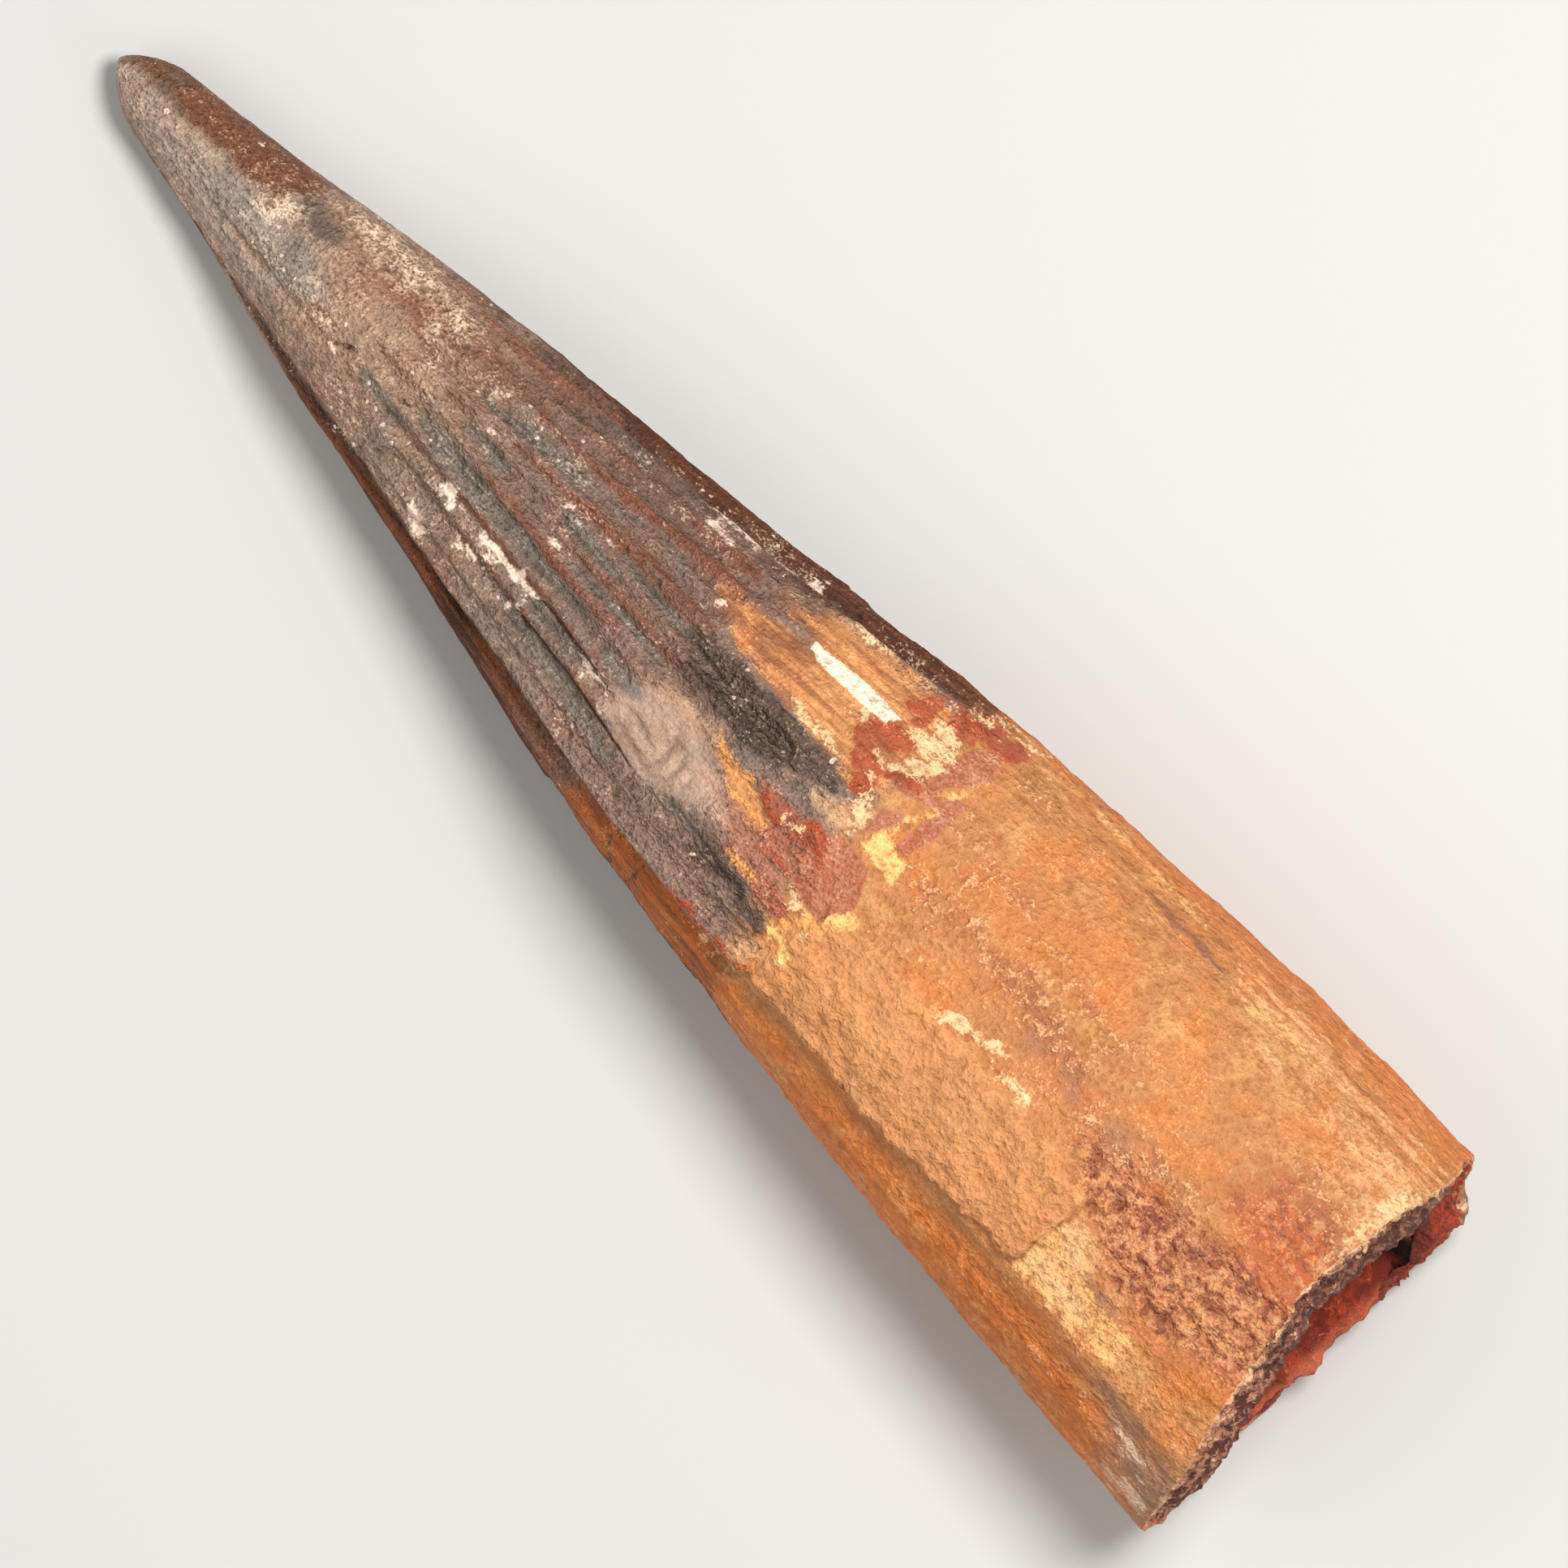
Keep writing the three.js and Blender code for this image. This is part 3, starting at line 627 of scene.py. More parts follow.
        [(16.6, 3, 0.4), (17.8, 2.7, 0.8), (19, 2.3, 0.4)],
        [(40.7, 7.5, 0.1), (43.5, 7.9, 0.5), (47, 8.1, 0.4), (52.5, 8.2, 0.1)],
        [(44.2, 6.1, 0.2), (47, 6.7, 0.6), (52.5, 7.2, 0.3)],
    ]),
    "orange": Mark(
        "orange_streak", "tan_dentine", 0.4, 0.25, rise=0.03, slope=0.2, streaky=True, cover=0.95,
        shapes=[
            [(62.8, -1.7, 0.2), (65.5, -2.7, 0.75), (68.3, -3.2, 0.15)],
            [(68.6, -6.2, 0.12), (70.8, -6.4, 0.2)],
            [(74.6, -7.3, 0.2), (75.4, -8.6, 0.3)],
            [(76.6, -4.8, 0.3), (75.4, -6.2, 0.3)],
        ],
    ),
    "splinter": Mark(
        "chip_white", "chip_white", 0.1, 0.08, rise=0.16, slope=0.15, rough=0.4, streaky=True,
        shapes=[
            [(62, 7.25), (61.9, 7.8), (66.5, 8.6), (69.9, 8.55), (69.2, 7.45), (63, 7.02)],
        ],
    ),
    "chips": Mark("chip_pink", "chip_shade", 0.24, 0.14, rise=0.12, slope=0.15, shapes=[
        [(37.4, -3.1, 0.15), (37.3, -3.8, 0.45), (36.8, -4, 0.2)],
        [(38.1, -4.5, 0.3)],
        [(36.3, -6.5, 0.28), (37.3, -6.7, 0.5), (38, -6.9, 0.28)],
        [(39.9, -5.6, 0.15), (40.5, -6.1, 0.28), (40.9, -5.8, 0.15), (42, -6, 0.12)],
        [(42.3, -5.1, 0.2), (42.7, -5.1, 0.15)],
        [(40.9, -4.3, 0.2), (43.5, -4.35, 0.24), (44.9, -4.4, 0.36), (46.7, -4.55, 0.22)],
        [(44.6, -3.3, 0.1), (44.8, -4.1, 0.25)],
        [(46.6, -5.3, 0.12), (46.3, -5.8, 0.25), (45.8, -6.4, 0.15)],
        [(52.3, -4.8, 0.25), (53.4, -5, 0.45)],
        [(44.6, -0.8, 0.12), (45.2, -0.8, 0.2)],
        [(50.6, -0.8, 0.1), (51, -0.5, 0.15)],
        [(55.5, 4.8, 0.15), (55.8, 5.1, 0.15)],
        [(43.5, 1.8, 0.15), (43.9, 2, 0.15)],
        [(47.2, 2.1, 0.12), (47.6, 2.2, 0.15)],
        [(36, 1.3, 0.15), (36.4, 1.4, 0.15)],
        [(24.3, -2.6, 0.15), (24.8, -2.9, 0.2)],
        [(58.8, 10.7, 0.15), (59.6, 10.8, 0.25)],
        [(56.1, 9.9, 0.1), (57.5, 10.1, 0.22)],
        [(50.6, 9.1, 0.15), (54.8, 9.5, 0.15)],
        [(50.9, 8.4, 0.2), (53, 8.6, 0.15)],
    ]),
    "carina_line": Mark(
        "deep_brown", "soot", 0.06, 0.12, rise=-0.25, slope=0.2, rough=0.6, streaky=True,
        shapes=[
            [(12, -3.95, 0.05), (20, -5.2, 0.1), (25, -5.95, 0.14), (32, -6.8, 0.2), (41, -8.1, 0.25),
             (50, -9.1, 0.22), (57, -10.15, 0.2), (62, -10.85, 0.18), (68, -11.05, 0.12)],
        ],
    ),
    # Dark cracks, and painted shade above three flute valleys.
    "cracks_and_shade_lines": Mark(
        "deep_brown", "soot", 0.25, 0.12, rise=-0.18, slope=0.25, rough=0.6, streaky=True,
        shapes=[
            [(65.1, -11, 0.06), (65.2, -13.4, 0.1)],
            [(62, -12, 0.04), (63.4, -13.2, 0.06)],
            [(56, 9, 0.08), (62, 10.5, 0.06)],
            # These three are painted shade along the upper edges of flute valleys.
            [(46.5, -4.25, 0.02), (51, -4.45, 0.14), (56, -5.1, 0.04)],
            [(45.5, -6.1, 0.02), (51, -6.4, 0.16), (59.5, -7.7, 0.06)],
            [(46.5, -0.3, 0), (52, -0.35, 0.1), (56.5, -0.6, 0.04)],
            [(24.5, -2.3, 0.08), (25.4, -2.05, 0.2), (26.2, -1.8, 0.1)],
            [(26.8, -1.6, 0.04), (29, -1.8, 0.08), (31, -1.9, 0.04)],
        ],
    ),
}

# Stains in the order in which they are laid down. They are mixed at the vertices.
STAINS = [
    Stain("warm_tan", 3, 0.75, [[(22, 0.5, 2.5), (30, 0.5, 2)]]),
    Stain("rust_brown", 0.6, 0.95, [
        [(0.2, 0.1), (6, 0.3), (14.2, 0.9), (17, 4.9), (9, 4.8), (1, 3.2)],
    ]),
    Stain("deep_brown", 0.5, 0.6, [[(16.5, 5, 0.2), (22, 6.4, 0.3), (31, 7.4, 0.7)]]),
    Stain("pale_mauve", 1, 0.6, [[(1.5, -0.3, 0.6), (6, -0.5, 0.8)]]),
    Stain("blue_grey", 1, 0.85, [[(10, -1, 0.7), (14, -1, 1.2), (18, -0.9, 1.8), (21, -1.2, 1)]]),
    Stain("blue_grey", 0.9, 0.5, [[(5, -1.8, 0.5), (12, -1.6, 0.9)]]),
    Stain("valley_grey", 0.5, 0.6, [[(14, -3.3, 0.3), (20, -3.9, 0.4)]]),
    Stain("valley_dark", 0.4, 0.85, [[(16.3, 2.7, 0.6), (18.8, 2.6, 0.9)]]),
    Stain("sand_shade", 1, 0.5, [[(17.5, 3.6, 0.4), (23, 4.6, 0.8), (30, 4.6, 0.6)]]),
    Stain("red_ridge", 1.2, 0.6, [[(24, 3.2, 0.8), (31, 3.6, 1.2), (38, 6.2, 1)]]),
    Stain("red_umber", 1.2, 0.3, [[(17, 3.2, 0.8), (23, 3.4, 1.5), (33, 5.8, 1.4)]]),
    Stain("deep_brown", 0.8, 0.4, [[(38, 6.8, 0.3), (45, 7.4, 1.2), (53, 8.2, 0.9)]]),
    Stain("mauve_brown", 1, 0.8, [[(20, -4.2, 0.7), (30, -4.8, 1.2), (42, -6.6, 1.2), (58, -9.4, 1)]]),
    Stain("red_ridge", 0.4, 0.8, [
        [(44, 5.4, 0.2), (50, 6.1, 0.45), (56, 6.7, 0.5)],
        [(38, 2.2, 0.2), (50, 2.8, 0.25)],
        [(38, -3.5, 0.15), (56, -4.5, 0.2)],
        [(43, 8.6, 0.2), (50, 7.9, 0.25), (56, 8.3, 0.2)],
    ]),
    Stain("red_ridge", 0.4, 0.7, [
        [(46, 3, 0.3), (51, 3.6, 0.5), (56, 3.2, 0.3)],
        [(44, 0.2, 0.15), (56, -0.3, 0.2)],
        [(36, 4.9, 0.2), (47, 5.5, 0.25)],
        [(38, -5.3, 0.15), (50, -5.9, 0.2), (58, -6.9, 0.15)],
        [(38, -0.9, 0.15), (52, -1.8, 0.2)],
        [(41, 8.9, 0.2), (54, 10.2, 0.3)],
    ]),
    Stain("deep_brown", 1, 0.9, [[(34, 7.6, 0.2), (45, 9.6, 1.1), (56, 11.4, 1.3), (75, 14.4, 0.6)]]),
    Stain("deep_brown", 0.7, 0.85, [
        [(22, -6.4, 0.3), (32, -7.7, 0.5), (44, -9.5, 0.9), (50, -10.6, 0.9)],
    ]),
    Stain("red_umber", 0.7, 0.85, [[(51, -10.6, 0.7), (56, -11.9, 1.1)]]),
    Stain("amber", 0.8, 0.9, [[(58, -12.2, 1), (66, -13, 1.5), (75, -13.4, 1.6)]]),
    Stain("red_umber", 0.3, 0.7, [[(58, -10.9, 0.2), (66, -11.5, 0.25), (75, -11.6, 0.15)]]),
    Stain("grey_mauve", 0.6, 0.8, [[(54, -8.6, 0.9), (60, -9, 1.3), (66, -9.3, 1.2), (72, -9.9, 0.6)]]),
    Stain("orange_streak", 0.9, 0.55, [[(57, -2.1, 0.2), (59.5, -2.3, 0.5), (62.5, -1.7, 0.3)]]),
    Stain("grey_mauve", 1.2, 0.35, [[(57, -3, 0.6), (61, -3.2, 0.8)]]),
    Stain("deep_brown", 0.5, 0.7, [[(67.8, -12, 0.1), (69.2, -12.2, 0.2)]]),
    Stain("flake_brown", 0.8, 0.9, [[(63.5, -4.2, 0.7), (67, -4.4, 1.3), (71, -4.4, 1.8)]]),
    Stain("spall_pink", 0.8, 0.6, [
        [(63, -4.6, 1), (66, -5, 0.6)],
        [(52.5, -5.3, 0.3), (56, -5.2, 0.9)],
    ]),
    Stain("rust_red", 0.7, 0.45, [[(68.2, -2.6, 0.4), (69.5, -3.6, 0.9), (71, -4, 0.6)]]),
    Stain("flake_red", 0.5, 0.8, [
        [(68.4, -6.3, 0.3), (73.5, -6.6, 0.6)],
        [(66.5, -1.4, 0.2), (71, -1.8, 1.1)],
    ]),
    Stain("pink_cream", 1.4, 0.5, [[(58.5, -4.6, 0.4), (61, -5.2, 0.8)]]),
    Stain("grey_mauve", 1, 0.6, [[(56, -2.2, 0.4), (60, -7, 0.3)]]),
    Stain("pink_cream", 0.8, 0.8, [
        [(69.5, 0.9, 0.3), (71.6, 0.6, 0.6)],
        [(74, -9.9, 0.6), (76, -9.6, 0.4)],
    ]),
    Stain("red_ridge", 1.4, 0.45, [[(38, 6.8, 0.6), (46, 6.6, 1.2), (57, 6.6, 2.2)]]),
    Stain("red_ridge", 2, 0.25, [[(40, 0.5, 1), (56, 0.8, 2.2)]]),
    Stain("burnt_orange", 1.8, 0.65, [[(78, 14.9, 0.6), (96, 16.2, 1.4), (118, 17, 1.3)]]),
    Stain("burnt_orange", 1.2, 0.75, [
        [(76, -13.8, 1), (90, -15, 1.9), (104, -15.8, 2.3), (116, -16.2, 2.3)],
    ]),
    Stain("amber", 1.3, 0.75, [[(98, -14, 0.5), (108, -14.7, 1.2), (115, -14.4, 0.9)]]),
    Stain("granule_mauve", 1.2, 0.3, [[(78, 1.8, 0.5), (84, 1.6, 0.7), (92, 1.2, 1.5), (97, 0.2, 1)]]),
    Stain("red_umber", 3, 0.16, [[(90, 0, 1.5), (100, 0.5, 1.5)]]),
    Stain("rust_brown", 2.5, 0.12, [[(104, 0.5, 1), (109, 5, 2)]]),
    Stain("bone_mauve", 1, 0.55, [
        [(100, -1.8, 0.5), (106, -1.6, 1.4), (113, -1.2, 1.4), (118, -0.6, 1.6)],
    ]),
    Stain("grey_mauve", 1.2, 0.5, [[(92, -0.2, 0.5), (98, -0.4, 0.8), (104, 0, 0.6)]]),
    Stain("grey_mauve", 0.7, 0.45, [[(78, -10.5, 0.4), (92, -10.9, 0.5)]]),
    Stain("straw", 1, 0.6, [[(82.8, -7.7, 0.7), (85.2, -7.7, 0.7)], [(81, 9.2, 0.6)]]),
    Stain("straw", 0.9, 0.6, [
        [(97.2, 7.4, 0.5), (99.5, 8.2, 0.6)],
        [(100, 13, 0.2), (107, 13.6, 0.3)],
    ]),
    Stain("burnt_orange", 2.5, 0.25, [[(84, 4, 2.5), (92, 6, 3)]]),
    Stain("pink_cream", 0.8, 0.6, [[(92.8, -5.8, 0.3), (92.6, -8.2, 0.3)]]),
    Stain("pink_cream", 0.5, 0.8, [[(102.8, 11.2, 0.3), (104.6, 11, 0.4)]]),
    Stain("pink_cream", 0.7, 0.7, [[(103, -6.6, 0.5), (105.5, -7, 0.3)]]),
    Stain("grey_mauve", 0.5, 0.8, [[(105.5, -8.3, 0.2), (109, -8.6, 0.3), (114.5, -8.2, 0.3)]]),
    Stain("bright_straw", 0.8, 0.35, [[(112, -10.3, 0.8), (114, -10.4, 0.6)], [(117.5, -10.6, 0.4)]]),
    Stain("deep_orange", 0.9, 0.75, [[(111.5, -8.4, 0.4), (115, -8.4, 1.1), (118.5, -7.8, 1.8)]]),
    Stain("bone_mauve", 1.2, 0.5, [[(111, 6.6, 0.8), (116, 6.4, 1.6), (118.5, 5.6, 1.6)]]),
    Stain("red_orange", 1.6, 0.75, [[(110.5, 2.8, 1), (114, 3.2, 2.4), (117.2, 2.2, 2.2)]]),
    Stain("red_orange", 1, 0.4, [[(115.5, -6.2, 0.6), (118.8, -5.6, 1.8)]]),
    Stain("tan_dentine", 0.8, 0.9, [[(62, 5.4, 1.4), (71, 6, 3)], [(62, 9.2, 0.9), (71, 9.4, 1.6)]]),
    Stain("dentine_brown", 0.8, 0.8, [
        [(56, 5.2, 0.6), (62.8, 5.3, 1.6)],
        [(58, 8.6, 0.5), (61.5, 8.8, 0.8)],
    ]),
    Stain("rust_red", 0.4, 0.6, [[(109.9, -10.4, 0.25)], [(112, -10.3, 0.25)]]),
    # Painted shadow along the crust's upper edge and its end.
    Stain("burnt_orange", 0.6, 0.5, [[(97.5, -4.6, 0.2), (101.5, -5, 0.3), (101.2, -10.6, 0.3)]]),
    Stain("rust_red", 0.7, 0.55, [[(70.2, 10.4, 0.7), (70.6, 7.2, 1.2), (70.8, 4.6, 1.4)]]),
    Stain("rust_red", 0.5, 0.95, [[(73, 11.9, 0.8), (76.2, 12.7, 0.6)]]),
    Stain("rust_red", 0.6, 0.5, [[(71.5, -2, 1.3)]]),
    Stain("scuff_grey", 1.4, 0.9, [[(112.5, -12.8, 0.4), (117, -14.6, 1.8), (121, -15.2, 2)]]),
]

# The ground colours along the tooth, by x.
GROUND = [
    (0, "mauve_grey"), (14, "mauve_grey"), (24, "warm_tan"), (33, "mauve_brown"), (44, "umber"),
    (60, "umber"), (71, "umber"), (74.5, "ochre"), (LENGTH, "ochre"),
]


def channel_to_linear(level):
    share = level / 255
    return share / 12.92 if share <= 0.04045 else ((share + 0.055) / 1.055) ** 2.4


def colour(name, description, red, green, blue):
    """A colour property whose default is given as a picture's 8-bit values."""
    return bpy.props.FloatVectorProperty(
        name=name,
        description=description,
        subtype="COLOR",
        size=3,
        min=0.0,
        max=1.0,
        default=[channel_to_linear(level) for level in (red, green, blue)],
    )


def length(name, description, millimetres):
    """A length property whose default is given in millimetres."""
    return bpy.props.FloatProperty(
        name=name, description=description, unit="LENGTH", precision=5, default=millimetres * MM
    )


class ToothColours(bpy.types.PropertyGroup):
    """Colours of the tooth, its stains and its sandstone."""

    mauve_grey: colour("Mauve grey", "Enamel near the tip", 174, 148, 129)
    pale_mauve: colour("Pale mauve", "Worn end of the tip", 184, 154, 134)
    blue_grey: colour("Blue grey", "Bluish enamel below the tip", 158, 143, 127)
    warm_tan: colour("Warm tan", "Speckled enamel of the upper crown", 178, 141, 115)
    mauve_brown: colour("Mauve brown", "Enamel of the middle crown", 151, 122, 103)
    umber: colour("Umber", "Fluted enamel of the lower crown", 140, 114, 99)
    red_ridge: colour("Red ridge", "Reddish ridges between the flutes", 132, 80, 60)
    # Rust brown is also the painted shadow at the crust's end.
    rust_brown: colour("Rust brown", "Strip along the tip, and the edge of the crust", 118, 68, 38)
    # Deep brown is also painted shade in the flutes' creases and above some valleys.
    deep_brown: colour("Deep brown", "Dark sides of the crown and its cracks", 80, 46, 28)
    red_umber: colour("Red umber", "Side below the carina", 136, 76, 40)
    amber: colour("Amber", "Smooth dentine below the carina", 186, 98, 38)
    valley_grey: colour("Valley grey", "Greenish grey in the flutes", 124, 115, 104)
    valley_dark: colour("Valley dark", "Darkest part of the flutes", 90, 80, 71)
    grey_mauve: colour("Grey mauve", "Leathery enamel and greyed bands", 148, 116, 100)
    charcoal: colour("Charcoal", "Blackened enamel", 102, 82, 70)
    # Soot is also painted shade in the broken wall's holes and the flutes' creases.
    soot: colour("Soot", "Darkest enamel and cracks", 54, 40, 33)
    spall_pink: colour("Spall pink", "Smooth spalled enamel", 210, 174, 150)
    spall_shade: colour("Spall shade", "Shaded spalled enamel", 190, 152, 128)
    tan_dentine: colour("Tan dentine", "Bare fibrous dentine", 224, 154, 94)
    warm_dentine: colour("Warm dentine", "Darker fibres of the dentine", 160, 98, 58)
    orange_streak: colour("Orange streak", "Orange streaks", 240, 166, 92)
    flake_brown: colour("Flake brown", "Flat mauve-brown flakes", 184, 120, 92)
    flake_red: colour("Flake red", "Reddish flakes", 176, 92, 62)
    rust_red: colour("Rust red", "Dark red stains", 170, 74, 42)
    cream: colour("Cream", "Pale blotches", 244, 206, 154)
    pink_cream: colour("Pink cream", "Pinkish pale blotches", 236, 184, 134)
    chip_white: colour("Chip white", "White splinter on the dentine", 252, 240, 212)
    chip_pink: colour("Chip pink", "Pinkish chips of the enamel", 246, 218, 196)
    chip_shade: colour("Chip shade", "Shaded chips of the enamel", 212, 184, 160)
    yellow_ochre: colour("Yellow ochre", "Bright yellow spots", 248, 200, 122)
    straw: colour("Straw", "Pale patches of the root", 240, 182, 112)
    sand: colour("Sand", "Sand and pale specks on the enamel", 238, 210, 178)
    sand_shade: colour("Sand shade", "Darker grains of the sand", 172, 138, 108)
    ochre: colour("Ochre", "Ground of the root", 197, 131, 78)
    crust_ochre: colour("Crust ochre", "Crust on the root", 222, 153, 98)
    deep_orange: colour("Deep orange", "Orange patches of the root", 202, 116, 56)
    burnt_orange: colour("Burnt orange", "Orange sides of the root", 222, 118, 42)
    granule_mauve: colour("Granule mauve", "Mauve specks of the root", 180, 112, 82)
    bone_pink: colour("Bone pink", "Porous bone", 212, 138, 98)
    bone_mauve: colour("Bone mauve", "Darker porous bone and granules", 158, 92, 72)
    # Painted shade at the bottoms of the pores.
    pore_shade: colour("Pore dark", "Bottoms of the pores", 108, 52, 42)
    red_orange: colour("Red orange", "Reddened bone near the rim", 184, 88, 50)
    cream_bone: colour("Cream bone", "Pale bone near the rim", 226, 172, 122)
    bright_straw: colour("Bright straw", "Brightest specks of the root", 246, 190, 118)
    dentine_brown: colour("Dentine brown", "Browned dentine", 160, 100, 66)
    # Painted shadow in the gap of the sandstone.
    void_shadow: colour("Void dark", "Gap in the sandstone", 26, 8, 6)
    slit_brown: colour("Slit brown", "Long slit near the root's edge", 142, 100, 74)
    scuff_grey: colour("Scuff grey", "Greyed corner of the root", 158, 120, 96)
    # Rim brown is also painted shade deep in the root's hollow.
    rim_brown: colour("Rim brown", "Broken wall, and the crown's dark edge", 84, 43, 29)
    # Rim pale is also the painted highlight along the top of the broken edge.
    rim_pale: colour("Rim pale", "Pale edges of the broken wall", 238, 190, 144)
    # Stone dark is also painted shade in the sandstone's hollows and deep in the root's hollow.
    stone_red: colour("Stone red", "Red sandstone", 168, 60, 34)
    stone_dark: colour("Stone dark", "Shaded grains of the sandstone", 120, 44, 28)
    stone_light: colour("Stone light", "Light grains of the sandstone", 220, 126, 92)
    floor: colour("Floor", "Plain floor", 206, 204, 200)


class ToothRelief(bpy.types.PropertyGroup):
    """Depths of the tooth's relief."""

    flutes: length("Flutes", "Depth of the enamel's flutes", 0.7)
    pores: length("Pores", "Depth of the root's pores", 0.8)
    grain: length("Grain", "Depth of the fine grain", 0.1)
    stone: length("Sandstone", "Depth of the sandstone's lumps", 0.8)


def lathe(rows, columns):
    """A tube of quads round the X axis, closed at both ends. A vertex's x counts its rows."""
    shell = bmesh.new()
    corners = [(0, 0, 0), (1, 1, 0), (rows - 1, 1, 0), (rows, 0, 0)]
    line = [shell.verts.new(corner) for corner in corners]
    edges = [shell.edges.new(pair) for pair in zip(line, line[1:])]
    bmesh.ops.subdivide_edges(shell, edges=[edges[1]], cuts=rows - 3)
    bmesh.ops.spin(
        shell,
        geom=shell.verts[:] + shell.edges[:],
        cent=(0, 0, 0),
        axis=(1, 0, 0),
        angle=2 * math.pi,
        steps=columns,
        use_merge=True,
    )
    bmesh.ops.remove_doubles(shell, verts=shell.verts, dist=POLE_MERGE)
    return shell


def rows_and_columns(shell):
    """The row of each vertex, and its angle round the axis in degrees."""
    places = np.array([vertex.co for vertex in shell.verts])
    column = np.degrees(np.arctan2(places[:, 2], places[:, 1])) % 360
    return places[:, 0], column


def tip_in_frame():
    """Where the tip is in the frame, which is where the shaping code has its own origin."""
    tip = min(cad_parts["tooth"].data.vertices, key=lambda vertex: vertex.co.x)
    return np.array([tip.co.x, tip.co.y, 0.0])


# How a field is kept in a mesh, by its number of values at a vertex.
FIELD_KINDS = {1: ("FLOAT", "value"), 3: ("FLOAT_VECTOR", "vector"), 4: ("FLOAT_COLOR", "color")}


def finished_piece(name, shell, points, fields, material):
    """An object from a shaped shell. The points are in the tooth's own millimetres."""
    placed = points * MM + tip_in_frame()
    for vertex, place in zip(shell.verts, placed.tolist()):
        vertex.co = place
    bmesh.ops.recalc_face_normals(shell, faces=shell.faces)
    mesh = bpy.data.meshes.new(name)
    shell.to_mesh(mesh)
    shell.free()
    mesh.shade_smooth()
    for field, values in fields.items():
        kind, key = FIELD_KINDS[values.size // len(values)]
        attribute = mesh.attributes.new(field, kind, "POINT")
        attribute.data.foreach_set(key, values.astype(np.float32).ravel())
    mesh.materials.append(material)
    piece = bpy.data.objects.new(name, mesh)
    bpy.context.scene.collection.objects.link(piece)
    return piece


def upper_and_lower(place, shapes, wander_x, wander_y):
    """How far inside the shapes each place is, from above or, turned over, from below."""
    above = inside_shapes(place.x + wander_x, place.y + wander_y, shapes)
    below = inside_shapes(place.x + wander_y - UNDERSIDE_SHIFT, wander_x - place.y, shapes)
    return np.maximum(above - np.maximum(0, -place.height), below - np.maximum(0, place.height))


def flute_relief(place, depth):
    """Regular flutes round the sides and below, and placed ones above."""
    column = place.column
    front = np.abs(turn_between(FRONT_CARINA, column))
    back = np.abs(turn_between(BACK_CARINA, column))
    clear = smoothstep(np.minimum(front, back), 0.5 * FLUTE_GAP, 1.5 * FLUTE_GAP)
    on_side = (column > FRONT_CARINA) & (column < SIDE_FLUTES_END)
    fade_in = smoothstep(place.station, *FLUTES_FADE_IN)
    start, full, fade, end = PLACED_FLUTES
    placed = smoothstep(column, start, full) * (1 - smoothstep(column, fade, end))
    wave = 0.5 - 0.5 * np.cos(FLUTES * np.radians(column))
    regular = depth * fade_in * clear * wave * np.where(on_side, SIDE_FLUTES, 1)
    valleys = inside_shapes(place.x, place.y, [*FLUTE_LINES, TIP_GROOVE])
    lines = smoothstep(valleys, *VALLEY_SLOPE) * (place.height > 0)
    fine = np.cos(FINE_FLUTES * np.radians(column)) * fade_in
    return -blend(placed, regular, depth * lines) + FINE_FLUTE_DEPTH * clear * fine


def carina_relief(place):
    """The two cutting edges, and the groove beside the front one."""
    front = turn_between(FRONT_CARINA, place.column)
    back = turn_between(BACK_CARINA, place.column)
    crests = hump(front, CARINA_WIDTH) + BACK_CARINA_SHARE * hump(back, CARINA_WIDTH)
    groove = hump(front - GROOVE_OFFSET, GROOVE_WIDTH)
    relief = CARINA_HEIGHT * crests - CARINA_GROOVE * groove
    return smoothstep(place.station, *CARINA_FADE_IN) * relief


def enamel_reach(place, fields, noises):
    """How far inside the enamel each place is. It ends in a ragged line and at the bare dentine."""
    a = np.radians(place.column)
    ragged = 0.7 * np.sin(3 * a + 0.4) + 0.3 * np.sin(8 * a)
    edge = ENAMEL_END * LENGTH + ENAMEL_RAGGED * ragged
    bare = np.maximum(fields["lost_enamel"], fields["bare_side"])
    return np.minimum(edge - place.x + ENAMEL_WANDER * noises["wander_x"], -bare)


def pore_depth(place, fields, noises):
    """Depth of the porous bone's pores from 0 to 1, the deep pits among them."""
    porous = smoothstep(fields["porous"], *PORES_FADE_IN)
    pores = porous * smoothstep(noises["hollows"] + 0.4 * noises["lumps"], *PORE_SLOPE)
    pits = sum(hump(np.hypot(place.x - x, place.y - y), width) for x, y, width in DEEP_PITS)
    return np.maximum(PORE_SHARE * pores, np.minimum(1, pits) * (place.height > 0))


